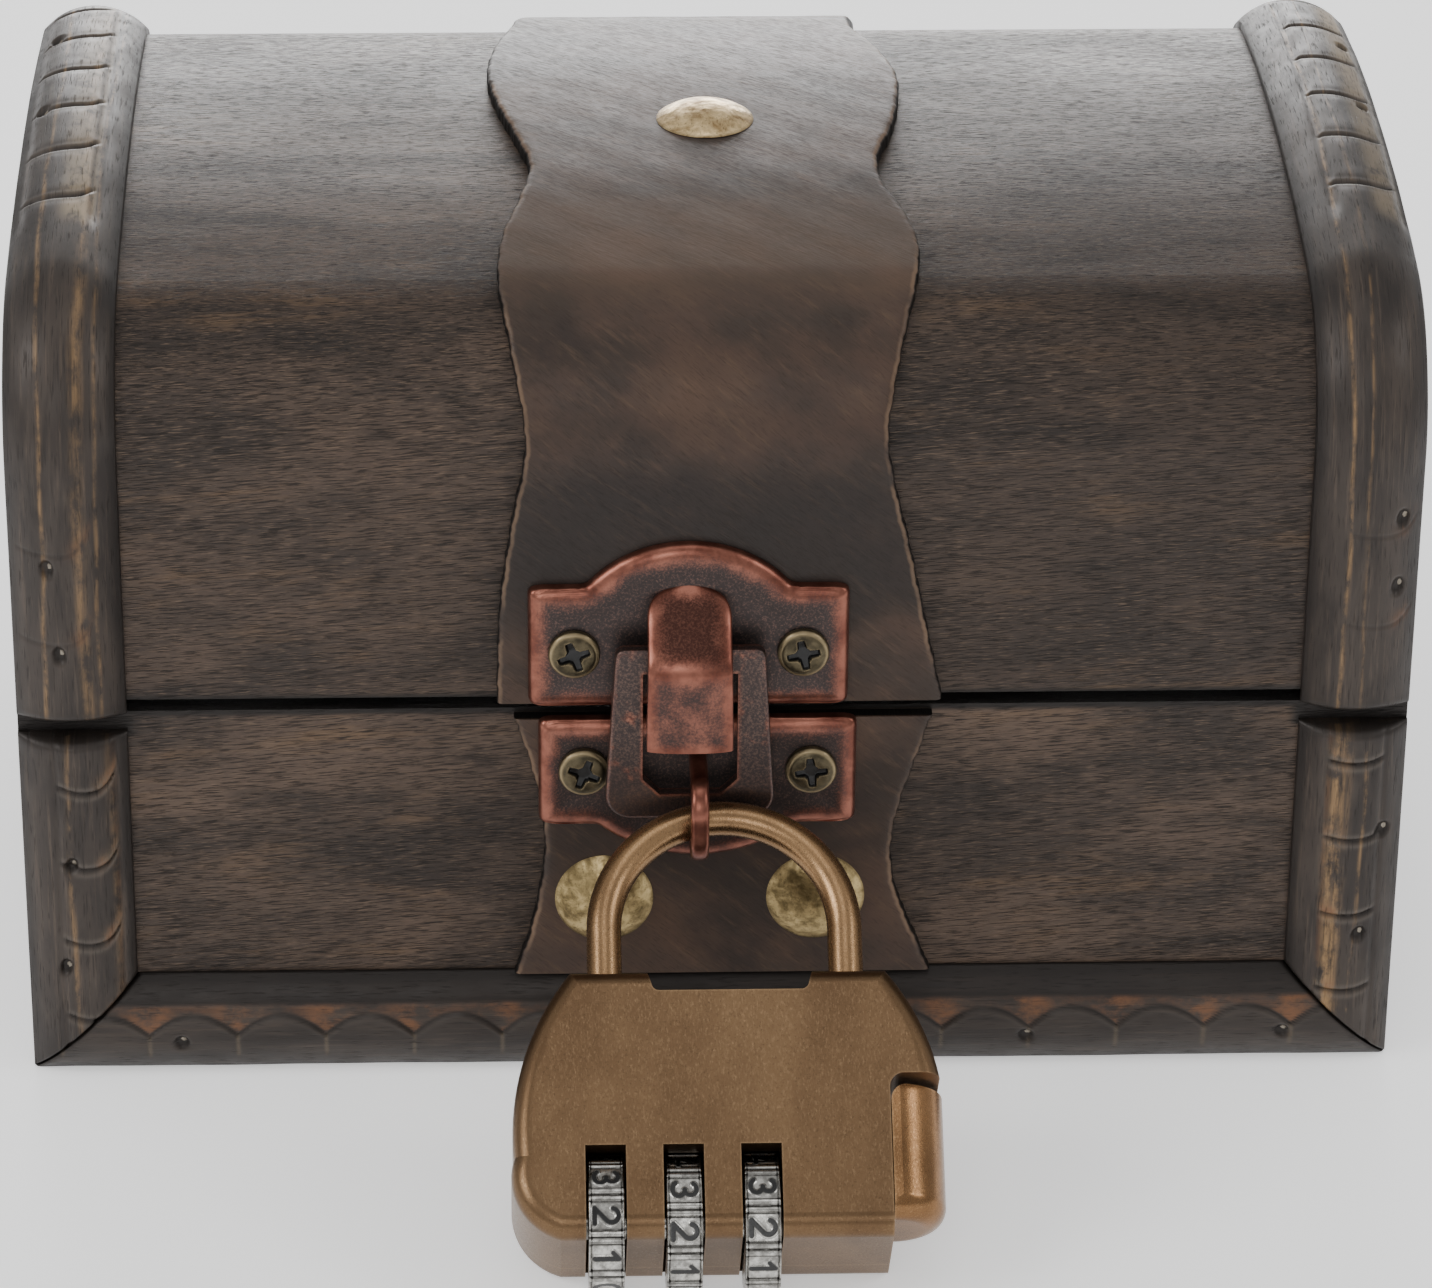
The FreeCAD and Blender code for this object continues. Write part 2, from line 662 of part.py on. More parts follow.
def latch_upper_plate():
    """Lid plate; its bill stands off the plate and hangs down, open at its lower end."""
    ear_end = LID_LOW + size("ear_height")
    body = latch_plate("upper", LID_LOW + size("fit_gap"), ear_end, ear_end + size("arch_rise"))
    stand = PLATE_FACE + size("bill_stand")
    thick = size("bill_thick")
    inside = thick - stand
    section = sketch_on(body, "YZ_Plane", "bill_section")
    draw(section, polygon([
        (-PLATE_ROOT, BILL_TOP), (-stand, BILL_FOLD), (-stand, BILL_LOW),
        (inside, BILL_LOW), (inside, BILL_FOLD - thick / 2), (-PLATE_ROOT, BILL_TOP - 1.6 * thick),
    ]))
    pad(body, section, "[bill_width]", both=True)
    half = size("bill_width") / 2
    spring = BILL_TOP - half
    diagonal = half * math.sqrt(0.5)
    clear = half + 1
    ahead = stand + 1
    for name, side in (("left", -1), ("right", 1)):
        waste = sketch_on(body, "XZ_Plane", f"bill_{name}_corner", ahead)
        draw(waste, [
            ((side * half, spring), (side * diagonal, spring + diagonal), (0.0, BILL_TOP)),
            ((0.0, BILL_TOP), (side * clear, BILL_TOP)),
            ((side * clear, BILL_TOP), (side * clear, spring)),
            ((side * clear, spring), (side * half, spring)),
        ])
        pocket(body, waste, str(ahead - PLATE_FACE))
    body.Placement = Placement(Vector(UPPER_X, 0, 0), Rotation())
    holes = front_bores("upper_plate_bore", upper_screws, SCREW_BORE)
    node(cut("latch_upper_drilled", body, holes), "latch_upper_plate")


def latch_lower_plate():
    """Base plate with a ring of flat wire that the loop's bar and the shackle pass through."""
    body = latch_plate("lower", size("base_height") + size("fit_gap"), LOWER_EAR, LOWER_EAR - LOWER_RISE)
    wire = size("ring_wire")
    bend = RING_BEND - wire
    front, low, high = wire - RING_FRONT, RING_LOW + wire, RING_HIGH - wire
    section = sketch_on(body, "YZ_Plane", "ring_section")
    draw(section, rounded([
        (-PLATE_ROOT, RING_HIGH, 0), (-RING_FRONT, RING_HIGH, RING_BEND),
        (-RING_FRONT, RING_LOW, RING_BEND), (-PLATE_ROOT, RING_LOW, 0),
        (-PLATE_ROOT, low, 0), (front, low, bend), (front, high, bend), (-PLATE_ROOT, high, 0),
    ]))
    pad(body, section, "[ring_width]", both=True)
    body.Placement = Placement(Vector(LOWER_X, 0, 0), Rotation())
    holes = front_bores("lower_plate_bore", lower_screws, SCREW_BORE)
    node(cut("latch_lower_drilled", body, holes), "latch_lower_plate")


LOOP_Y = 44.8
LOOP_PIVOT_Z = 31.7
LOOP_LOW = 29.8
LOOP_HIGH = 47.6
LOOP_FOOT = 8.0
LOOP_HEAD = 6.9
LOOP_FOOT_ROUND = 2.4
LOOP_HEAD_ROUND = 0.9
LOOP_EDGE = 0.35
WINDOW_HALF = 4.4
WINDOW_SLOPE = 1.6
WINDOW_SILL = LOOP_PIVOT_Z + 0.7
WINDOW_HEAD = LOOP_HIGH - 2.4


def latch_loop():
    """Flat frame, wider at its foot, whose foot bar turns in the ring."""
    body = new_body("latch_loop_body")
    offset = LOOP_Y + size("loop_thick") / 2
    outline = sketch_on(body, "XZ_Plane", "loop_outline", offset)
    draw(outline, rounded([
        (-LOOP_FOOT, LOOP_LOW, LOOP_FOOT_ROUND), (LOOP_FOOT, LOOP_LOW, LOOP_FOOT_ROUND),
        (LOOP_HEAD, LOOP_HIGH, LOOP_HEAD_ROUND), (-LOOP_HEAD, LOOP_HIGH, LOOP_HEAD_ROUND),
    ]))
    frame = pad(body, outline, "[loop_thick]", back=True)
    soften(body, frame, LOOP_EDGE, on_plane("y", -offset))
    window = sketch_on(body, "XZ_Plane", "loop_window")
    narrow, shoulder = WINDOW_HALF - WINDOW_SLOPE, WINDOW_SILL + WINDOW_SLOPE
    draw(window, polygon([
        (-narrow, WINDOW_SILL), (narrow, WINDOW_SILL), (WINDOW_HALF, shoulder),
        (WINDOW_HALF, WINDOW_HEAD), (-WINDOW_HALF, WINDOW_HEAD), (-WINDOW_HALF, shoulder),
    ]))
    pocket(body, window)
    body.Placement = Placement(Vector(LATCH_X, 0, 0), Rotation())
    node(body, "latch_loop")


# Padlock, modelled upright with its origin just under the crown of its shackle, then laid forward
LOCK_Y = -47.6
LOCK_Z = 30.5
LOCK_PLACE = Placement(
    Vector(size("lock_middle"), LOCK_Y, LOCK_Z),
    Rotation(X_AXIS, size("lock_tilt") - 90),
)
CASE_TOP = -size("case_top")
CASE_LOW = -size("case_bottom")
CASE_FRONT = -size("case_front")
CASE_BACK = size("case_thick") - size("case_front")
CASE_SPLIT = 3.0
CASE_WALL = 0.55
CASE_ROUND = {"front": 1.8, "back": 2.4}
LONG_LEG_BORE = 14.0
TOE_BORE = 4.8
LONG_LEG_END = -29.0
TOE_END = -20.7
DIAL_Y = -0.6
DIAL_Z = -39.5
DIAL_FIRST = -11.35
DIAL_SLOT_TOP = -33.8
DIAL_SLOT_SIDE = 0.2
DIAL_CHAMBER_GAP = 0.25
DIAL_TURNS = {"left": -24, "middle": -11, "right": -11}
DIALS = [(label, DIAL_FIRST + i * size("dial_pitch")) for i, label in enumerate(DIAL_TURNS)]
SPINDLE_START = -16.3
SLIDER_TOP = -27.2
SLIDER_SIDE = 14.4
SLIDER_ROUND = 1.3
SLIDER_GAP = 0.4
SLIDER_RIB = 2.4
SLIDER_RIB_IN = 2.2
SLIDER_RIB_LOW = -38.0
SLIDER_RIB_HIGH = -30.2
SLIDER_TRAVEL = 2.0
NOTCH_LEFT = -6.8
NOTCH_RIGHT = 7.2
NOTCH_FLARE = 0.8
NOTCH_DEPTH = 2.2
NOTCH_ROUND = 0.7
LOW_CORNER = 7.6
LOW_BULGE = 2.2


def case_outline():
    """Front outline of the lock's case before its notch and the slider's step are cut."""
    return [
        ((-14.4, CASE_TOP), (14.4, CASE_TOP)),
        ((14.4, CASE_TOP), (17.9, -23.0), (19.3, -29.4)),
        ((19.3, -29.4), (19.3, CASE_LOW + LOW_CORNER)),
        ((19.3, CASE_LOW + LOW_CORNER), (18.4, CASE_LOW + LOW_BULGE), (15.4, CASE_LOW)),
        ((15.4, CASE_LOW), (-15.4, CASE_LOW)),
        ((-15.4, CASE_LOW), (-18.6, CASE_LOW + LOW_BULGE), (-19.6, CASE_LOW + LOW_CORNER)),
        ((-19.6, CASE_LOW + LOW_CORNER), (-18.9, -26.0), (-14.4, CASE_TOP)),
    ]


def case_steps(name):
    """Tools for the shallow notch in the case's top and the step that the slider runs in."""
    deep = "2 * [case_thick]"
    below, beside = CASE_LOW - 2, SLIDER_SIDE + 8
    step = new_body(f"{name}_step")
    outline = sketch_on(step, "XZ_Plane", f"{name}_step_outline")
    draw(outline, rounded([
        (SLIDER_SIDE, below, 0), (SLIDER_SIDE, SLIDER_TOP, SLIDER_ROUND),
        (beside, SLIDER_TOP, 0), (beside, below, 0),
    ]))
    pad(step, outline, deep, both=True)
    notch = new_body(f"{name}_notch")
    outline = sketch_on(notch, "XZ_Plane", f"{name}_notch_outline")
    floor, above = CASE_TOP - NOTCH_DEPTH, CASE_TOP + 1
    draw(outline, rounded([
        (NOTCH_LEFT - NOTCH_FLARE, above, 0), (NOTCH_LEFT, floor, NOTCH_ROUND),
        (NOTCH_RIGHT, floor, NOTCH_ROUND), (NOTCH_RIGHT + NOTCH_FLARE, above, 0),
    ]))
    pad(notch, outline, deep, both=True)
    return [step, notch]


def dial_tools(name):
    """Round chambers of the dials and the straight slots that show them at the front and below."""
    tools = []
    wide = size("dial_width") + 2 * DIAL_SLOT_SIDE
    radius = f"[dial_radius] + {DIAL_CHAMBER_GAP}"
    depth = f"[case_thick] + 2 - {CASE_WALL}"
    for label, x in DIALS:
        start = (x - wide / 2, DIAL_Y, DIAL_Z)
        tools.append(rod(f"{name}_{label}_chamber", start, SIDE_TURN, radius, str(wide)))
        corner = (x - wide / 2, CASE_FRONT - 2, CASE_LOW - 2)
        height = str(DIAL_SLOT_TOP - CASE_LOW + 2)
        tools.append(box(f"{name}_{label}_slot", corner, str(wide), depth, height))
    return tools


def working_bores():
    """Holes of the shackle's legs, the dials' spindle and the slider's rib."""
    tools = []
    bore = "[shackle_wire] / 2 + [fit_gap]"
    for leg, x, depth in (("long", -1, LONG_LEG_BORE), ("toe", 1, TOE_BORE)):
        start = (x * size("shackle_half"), 0, CASE_TOP - depth)
        tools.append(rod(f"case_{leg}_bore", start, Rotation(), bore, str(depth + 2)))
    start = (SPINDLE_START - size("fit_gap"), DIAL_Y, DIAL_Z)
    bearing = "[spindle_width] / 2 + [bore_slack]"
    tools.append(rod("case_spindle_bore", start, SIDE_TURN, bearing, "[spindle_length] + 2 * [fit_gap]"))
    wide = SLIDER_RIB + 3 * size("fit_gap")
    low = SLIDER_RIB_LOW - SLIDER_TRAVEL - 3 * size("fit_gap")
    high = SLIDER_RIB_HIGH + 4 * size("fit_gap")
    corner = (SLIDER_SIDE - SLIDER_RIB_IN - 2 * size("fit_gap"), -wide / 2, low)
    tools.append(box("case_groove", corner, "4", str(wide), str(high - low)))
    return tools


def lock_case():
    """Case in two halves that meet behind the dials' middle."""
    halves = (("front", CASE_FRONT, CASE_SPLIT), ("back", CASE_SPLIT, CASE_BACK))
    for name, near, far in halves:
        body = new_body(f"case_{name}_body")
        outline = sketch_on(body, "XZ_Plane", f"case_{name}_outline", -near)
        draw(outline, case_outline())
        blank = pad(body, outline, str(far - near), back=True)
        rim = near if name == "front" else far
        soften(body, blank, CASE_ROUND[name], on_plane("y", rim))
        tools = dial_tools(f"case_{name}") + case_steps(f"case_{name}")
        if name == "front":
            tools += working_bores()
        shape = cut(f"case_{name}_cut", body, tools)
        shape.Placement = LOCK_PLACE
        node(shape, f"padlock_{name}_case")


def lock_shackle():
    """Round bar bent into a U: a long leg that stays in the case and a toe that comes out."""
    body = new_body("shackle_body")
    half, crown = size("shackle_half"), size("shackle_rise")
    spring = crown - half
    route = sketch_on(body, "XZ_Plane", "shackle_route")
    draw(route, [
        ((-half, LONG_LEG_END), (-half, spring)),
        ((-half, spring), (0.0, crown), (half, spring)),
        ((half, spring), (half, TOE_END)),
    ])
    section = sketch_on(body, "XY_Plane", "shackle_section", LONG_LEG_END)
    section.addGeometry(Part.Circle(Vector(-half, 0, 0), Vector(0, 0, 1), size("shackle_wire") / 2), False)
    doc.recompute()
    sweep = body.newObject("PartDesign::AdditivePipe", "shackle_sweep")
    sweep.Profile = section
    sweep.Spine = (route, ["Edge1", "Edge2", "Edge3"])
    body.Placement = LOCK_PLACE
    doc.recompute()
    node(body, "padlock_shackle")


def lock_dials():
    """Three number wheels, each with ten ribs between its ten flat cells, on one spindle."""
    rib_foot, rib_crest, rib_rise, rib_root = 0.35, 0.25, 0.22, 0.3
    radius = size("dial_radius")
    core = radius - rib_rise
    for label, x in DIALS:
        body = new_body(f"dial_{label}_body")
        disc = sketch_on(body, "YZ_Plane", f"dial_{label}_disc")
        for edge in (core, size("dial_bore") / 2):
            disc.addGeometry(Part.Circle(Vector(0, 0, 0), Vector(0, 0, 1), edge), False)
        pad(body, disc, "[dial_width]", both=True)
        rib = sketch_on(body, "YZ_Plane", f"dial_{label}_rib")
        draw(rib, polygon([
            (-rib_foot, core - rib_root), (rib_foot, core - rib_root),
            (rib_crest, radius), (-rib_crest, radius),
        ]))
        ridge = pad(body, rib, "[dial_width]", both=True)
        ring = body.newObject("PartDesign::PolarPattern", f"dial_{label}_ribs")
        ring.Originals = [ridge]
        ring.Axis = (disc, ["N_Axis"])
        ring.Angle = 360
        ring.Occurrences = 10
        body.Tip = ring
        wheel_place = Placement(Vector(x, DIAL_Y, DIAL_Z), Rotation(X_AXIS, DIAL_TURNS[label]))
        body.Placement = LOCK_PLACE.multiply(wheel_place)
        doc.recompute()
        node(body, f"padlock_{label}_dial")
    spindle = rod("dial_spindle", (0, 0, 0), Rotation(), "[spindle_width] / 2", "[spindle_length]")
    spindle.Placement = LOCK_PLACE.multiply(Placement(Vector(SPINDLE_START, DIAL_Y, DIAL_Z), SIDE_TURN))
    node(spindle, "padlock_spindle")


def lock_slider():
    """Half-round side button on a rib that runs in the case's groove."""
    body = new_body("slider_body")
    top = SLIDER_TOP - SLIDER_GAP
    low = top - size("slider_height")
    inner, bend, outer, wide, foot_round = SLIDER_SIDE + 0.2, 15.4, 19.5, 4.8, 2.0
    plan = sketch_on(body, "XY_Plane", "slider_plan", top)
    draw(plan, [
        ((inner, -wide), (bend, -wide)),
        ((bend, -wide), (outer, 0.0), (bend, wide)),
        ((bend, wide), (inner, wide)),
        ((inner, wide), (inner, -wide)),
    ])
    button = pad(body, plan, "[slider_height]", back=True)

    def round_end(edge):
        points = edge.discretize(5)
        return all(abs(p.z - low) < 1e-4 for p in points) and max(p.x for p in points) > outer - 0.5

    def inner_corner(edge):
        return all(abs(p.z - top) < 1e-4 and abs(p.x - inner) < 1e-4 for p in edge.discretize(5))

    foot = soften(body, button, foot_round, round_end)
    soften(body, foot, SLIDER_ROUND + 2 * size("fit_gap"), inner_corner)
    rib = sketch_on(body, "XZ_Plane", "slider_rib")
    rib_in, rib_out = SLIDER_SIDE - SLIDER_RIB_IN, inner + 0.5
    draw(rib, polygon([
        (rib_in, SLIDER_RIB_LOW), (rib_out, SLIDER_RIB_LOW),
        (rib_out, SLIDER_RIB_HIGH), (rib_in, SLIDER_RIB_HIGH),
    ]))
    pad(body, rib, str(SLIDER_RIB), both=True)
    body.Placement = LOCK_PLACE
    doc.recompute()
    node(body, "padlock_slider")


base_boards()
base_mouldings("front", -1, "[base_height] - [front_relief]")
base_mouldings("back", 1, "[base_height] - [back_relief]")
base_strap()
lid_shell()
lid_hoops()
lid_strap()
hinge("hinge_left", -size("hinge_place"))
hinge("hinge_right", size("hinge_place"))
fastener_groups()
latch_upper_plate()
latch_lower_plate()
latch_loop()
lock_case()
lock_shackle()
lock_dials()
lock_slider()
doc.recompute()

failed = [item.Label for item in doc.Objects if {"Invalid", "Error"} & set(item.State)]
if failed:
    raise ValueError(f"did not build: {failed}")
for piece in nodes:
    if piece.Shape.isNull() or not piece.Shape.isValid():
        raise ValueError(f"{piece.Label} has no valid shape")

os.makedirs("parts", exist_ok=True)
for piece in nodes:
    piece.Shape.exportStep(f"parts/{piece.Label}.step")
    print(f"{piece.Label}: {len(piece.Shape.Solids)} solid(s), {piece.Shape.Volume:.1f} mm3")
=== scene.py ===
import json
import math

import bpy
import numpy as np
from mathutils import Matrix, Vector


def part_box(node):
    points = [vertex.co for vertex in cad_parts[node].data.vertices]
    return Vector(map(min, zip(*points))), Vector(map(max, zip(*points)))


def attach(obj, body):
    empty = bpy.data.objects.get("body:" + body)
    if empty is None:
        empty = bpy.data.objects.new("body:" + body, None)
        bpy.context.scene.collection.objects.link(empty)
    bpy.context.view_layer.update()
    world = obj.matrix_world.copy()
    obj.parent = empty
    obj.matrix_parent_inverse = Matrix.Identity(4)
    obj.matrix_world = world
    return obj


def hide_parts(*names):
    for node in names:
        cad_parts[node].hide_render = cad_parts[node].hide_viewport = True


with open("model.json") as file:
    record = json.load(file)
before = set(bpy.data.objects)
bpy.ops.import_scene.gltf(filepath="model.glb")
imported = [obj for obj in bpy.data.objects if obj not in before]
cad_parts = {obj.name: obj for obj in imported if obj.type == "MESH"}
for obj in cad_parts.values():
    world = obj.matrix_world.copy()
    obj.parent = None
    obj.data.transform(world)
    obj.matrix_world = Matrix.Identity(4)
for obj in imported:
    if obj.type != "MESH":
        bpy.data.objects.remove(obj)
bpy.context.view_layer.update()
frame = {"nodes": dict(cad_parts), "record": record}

# Sizes in millimetres, as the solids have them
MM = 0.001
HALF_W = 65.0
HALF_D = 42.8
FACE = 39.8
LID_LOW = 39.9
LID_TOP = 82.4
CROWN = 200.0
SHOULDER = 16.5
MOULD_W = 10.2
MOULD_PROUD = 3.0
MOULD_LIP = 0.7
MOULD_X = HALF_W - MOULD_W / 2
STRAP_THICK = 1.5
STRAP_FACE = 41.3
PLATE_FACE = 42.7
UPPER_X = -2.6
LOWER_X = -1.7
PLATE_HALF = 14.85
SCREW_RADIUS = 2.4
SCREW_X = 10.6

# Heights at the joint: hoops reach lower and front posts stop lower than their solids
JOINT_LOW = 38.4
HOOP_DROP = 1.2
POST_TOP = 36.8
BACK_POST_TOP = 37.2


# Light, floor and camera

def photo_camera():
    """Long lens, a little left of the middle and well above it, with a slight roll."""
    turn = math.radians(-2.2)
    rise = math.radians(28.7)
    roll = math.radians(0.55)
    ahead = Vector((-math.sin(turn) * math.cos(rise), math.cos(turn) * math.cos(rise), -math.sin(rise)))
    level = Vector((math.cos(turn), math.sin(turn), 0))
    over = level.cross(ahead)
    right = level * math.cos(roll) + over * math.sin(roll)
    up = over * math.cos(roll) - level * math.sin(roll)
    lens = bpy.data.cameras.new("photo_camera")
    lens.sensor_fit = "HORIZONTAL"
    lens.sensor_width = 36.0
    lens.lens = 156.9
    lens.clip_start = 0.01
    camera = bpy.data.objects.new("photo_camera", lens)
    turned = Matrix((right, up, -ahead)).transposed().to_4x4()
    place = Vector((-19.5, -548.0, 323.7)) * MM
    camera.matrix_world = Matrix.Translation(place) @ turned
    bpy.context.scene.collection.objects.link(camera)
    bpy.context.scene.camera = camera


def soft_box(name, place, target, size, power):
    """Square area light that looks from one point at another."""
    light = bpy.data.lights.new(name, "AREA")
    light.size = size
    light.energy = power
    lamp = bpy.data.objects.new(name, light)
    lamp.location = place
    lamp.rotation_euler = (Vector(target) - Vector(place)).to_track_quat("-Z", "Y").to_euler()
    bpy.context.scene.collection.objects.link(lamp)


def studio():
    """Pale glowing floor, white surround and soft boxes: low behind, at both sides, in front and above."""
    white = (1.0, 1.0, 1.0, 1.0)
    surround = bpy.data.worlds.new("white_surround")
    surround.use_nodes = True
    glow = surround.node_tree.nodes["Background"].inputs
    glow["Color"].default_value = white
    glow["Strength"].default_value = 0.66
    bpy.context.scene.world = surround
    soft_box("back_soft_box", (0.0, 1.3, 0.24), (0, 0, 0.06), 0.7, 13)
    soft_box("left_soft_box", (-0.85, -0.35, 0.7), (0, 0, 0.04), 0.5, 4.5)
    soft_box("right_soft_box", (0.85, -0.3, 0.7), (0, 0, 0.04), 0.4, 2)
    soft_box("front_soft_box", (-0.2, -1.2, 0.7), (0, 0, 0.04), 0.5, 2.5)
    soft_box("top_soft_box", (0.0, -0.25, 1.2), (0, 0, 0.04), 0.5, 1)
    floor_half = 3.0
    count = 9
    across = np.linspace(-floor_half, floor_half, count)
    x, y = np.meshgrid(across, across, indexing="ij")
    points = np.stack([x, y, np.zeros_like(x)], -1).reshape(-1, 3)
    floor = mesh_object("floor", points, [grid_faces(count, count)])
    pale = bpy.data.materials.new("pale_floor")
    pale.use_nodes = True
    shader = pale.node_tree.nodes["Principled BSDF"].inputs
    shader["Base Color"].default_value = (0.92, 0.92, 0.92, 1.0)
    shader["Emission Color"].default_value = white
    shader["Emission Strength"].default_value = 0.55
    shader["Roughness"].default_value = 0.7
    floor.data.materials.append(pale)


# Meshes from arrays

def grid_faces(rows, columns, round_rows=False, round_columns=False):
    """Four-sided faces of a grid of points, closed round either way where asked."""
    r = np.arange(rows if round_rows else rows - 1)
    c = np.arange(columns if round_columns else columns - 1)
    r, c = np.meshgrid(r, c, indexing="ij")
    below = (r + 1) % rows
    beside = (c + 1) % columns
    corners = [r * columns + c, r * columns + beside, below * columns + beside, below * columns + c]
    return np.stack(corners, -1).reshape(-1, 4)


def mesh_object(name, points, face_groups, fields=None, crease=40.0):
    """Smooth object with point attributes; edges over the crease angle, in degrees, stay sharp."""
    mesh = bpy.data.meshes.new(name)
    faces = [face for group in face_groups for face in group.tolist()]
    mesh.from_pydata(points.tolist(), [], faces)
    for field, values in (fields or {}).items():
        kind = "FLOAT_VECTOR" if values.ndim == 2 else "FLOAT"
        data = mesh.attributes.new(field, kind, "POINT").data
        data.foreach_set("vector" if values.ndim == 2 else "value", values.astype(np.float32).ravel())
    mesh.shade_smooth()
    mesh.set_sharp_from_angle(angle=math.radians(crease))
    made = bpy.data.objects.new(name, mesh)
    bpy.context.scene.collection.objects.link(made)
    return made


def shell(points, groups, fields):
    """Closed surface with its faces outward: points in millimetres, groups of faces, values on the points.

    The faces are turned round where six times the volume is negative, which is the sum of p0 . (p1 x p2)
    over their triangles."""
    volume = 0.0
    for faces in groups:
        for corner in range(1, faces.shape[1] - 1):
            sides = np.cross(points[faces[:, corner]], points[faces[:, corner + 1]])
            volume += np.sum(points[faces[:, 0]] * sides)
    if volume < 0:
        groups = [faces[:, ::-1] for faces in groups]
    return points, groups, fields


def loft_shell(rings, fields):
    """Rings of points joined one to the next, with a fan of triangles on a middle point at each end."""
    count, around = rings.shape[:2]
    points = np.concatenate([rings.reshape(-1, 3), rings[:1].mean(1), rings[-1:].mean(1)])
    here = np.arange(around)
    beside = (here + 1) % around
    last = (count - 1) * around
    first_end = np.stack([beside, here, np.full(around, count * around)], -1)
    last_end = np.stack([last + here, last + beside, np.full(around, count * around + 1)], -1)
    full = {}
    for field, values in fields.items():
        flat = values.reshape(count * around, -1)
        ends = [flat, flat[:around].mean(0, keepdims=True), flat[-around:].mean(0, keepdims=True)]
        full[field] = np.squeeze(np.concatenate(ends))
    return shell(points, [grid_faces(count, around, False, True), first_end, last_end], full)


def shell_object(name, shells, crease):
    """One object of one or more closed shells; edges over the crease angle stay sharp."""
    starts = np.cumsum([0] + [len(points) for points, _, _ in shells])
    points = np.concatenate([points for points, _, _ in shells])
    groups = [faces + start for start, (_, group, _) in zip(starts, shells) for faces in group]
    fields = {key: np.concatenate([values[key] for _, _, values in shells]) for key in shells[0][2]}
    return mesh_object(name, points * MM, groups, fields, crease)


def stand_for(piece, body, slot, finish, *nodes):
    """The piece takes the nodes' place on their body, in the given finish."""
    piece.data.materials.append(finish)
    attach(piece, body)
    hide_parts(*nodes)


# Shader building

def seen(red, green, blue):
    """Linear colour of a colour given as it is seen on a screen, 0 to 255."""
    parts = np.array([red, green, blue]) / 255
    linear = np.where(parts > 0.04045, ((parts + 0.055) / 1.055) ** 2.4, parts / 12.92)
    return (*linear.tolist(), 1.0)


class Finish:
    """One material's node tree and its colour so far, with short calls for nodes; lengths are in mm."""

    def __init__(self, name):
        self.material = bpy.data.materials.new(name)
        self.material.use_nodes = True
        self.tree = self.material.node_tree
        self.shader = self.tree.nodes["Principled BSDF"]
        self.colour = None
        coordinates = self.node("ShaderNodeTexCoord")
        self.place = self.stretch(coordinates.outputs["Object"], (1 / MM, 1 / MM, 1 / MM))

    def node(self, kind, sockets=(), **settings):
        made = self.tree.nodes.new(kind)
        for key, value in settings.items():
            setattr(made, key, value)
        for key, value in dict(sockets).items():
            self.put(made.inputs[key], value)
        return made

    def put(self, socket, value):
        if isinstance(value, bpy.types.NodeSocket):
            self.tree.links.new(value, socket)
        else:
            socket.default_value = value

    def set(self, **values):
        for key, value in {"Base_Color": self.colour, **values}.items():
            self.put(self.shader.inputs[key.replace("_", " ")], value)

    def stretch(self, vector, scale, turn=(0, 0, 0), move=(0, 0, 0)):
        turned = tuple(map(math.radians, turn))
        sockets = {"Vector": vector, "Scale": scale, "Rotation": turned, "Location": move}
        return self.node("ShaderNodeMapping", sockets).outputs["Vector"]

    def field(self, name, output="Fac"):
        return self.node("ShaderNodeAttribute", attribute_name=name).outputs[output]

    def part(self, vector, axis):
        return self.node("ShaderNodeSeparateXYZ", {"Vector": vector}).outputs[axis]

    def noise(self, vector, size=1.0, detail=3.0, rough=0.5, warp=0.0):
        sockets = {"Vector": vector, "Scale": 1 / size, "Detail": detail, "Roughness": rough,
                   "Distortion": warp}
        return self.node("ShaderNodeTexNoise", sockets).outputs["Fac"]

    def step(self, value, low, high, first=0.0, last=1.0):
        sockets = {"Value": value, "From Min": low, "From Max": high, "To Min": first, "To Max": last}
        return self.node("ShaderNodeMapRange", sockets, interpolation_type="SMOOTHSTEP").outputs["Result"]

    def maths(self, operation, first, second=0.0):
        made = self.node("ShaderNodeMath", operation=operation)
        self.put(made.inputs[0], first)
        self.put(made.inputs[1], second)
        return made.outputs["Value"]

    def times(self, first, second):
        return self.maths("MULTIPLY", first, second)

    def plus(self, first, second):
        return self.maths("ADD", first, second)

    def minus(self, first, second):
        return self.maths("SUBTRACT", first, second)

    def mix(self, factor, first, second):
        made = self.node("ShaderNodeMix", data_type="RGBA")
        for index, value in ((0, factor), (6, first), (7, second)):
            self.put(made.inputs[index], value)
        return made.outputs[2]

    def stain(self, amount, red, green, blue):
        self.colour = self.mix(amount, self.colour, seen(red, green, blue))

    def bump(self, height, depth, under=None):
        made = self.node("ShaderNodeBump", {"Height": height, "Strength": 1.0, "Distance": depth * MM})
        if under is not None:
            self.put(made.inputs["Normal"], under)
        return made.outputs["Normal"]

    def worn_edge(self, width):
        """0 on flat ground, up to 1 on a sharp edge: how far a rounded normal leaves the true one."""
        rounded = self.node("ShaderNodeBevel", {"Radius": width * MM}, samples=4).outputs["Normal"]
        true = self.node("ShaderNodeNewGeometry").outputs["Normal"]
        made = self.node("ShaderNodeVectorMath", operation="DOT_PRODUCT")
        self.put(made.inputs[0], rounded)
        self.put(made.inputs[1], true)
        return self.step(made.outputs["Value"], 0.98, 0.75)


# Mouldings: flattened half-round with rows of arcs pressed across them

ARC_POINTS = 61
GRID_STEP = 0.19
SINK = 0.1
GROOVE_DEEP = 0.3
PRESS_DEEP = 0.26
LIP_HIGH = 0.05
PIT_DEEP = 0.5
MITRE_DEEP = 0.25
END_ROUND = 1.0


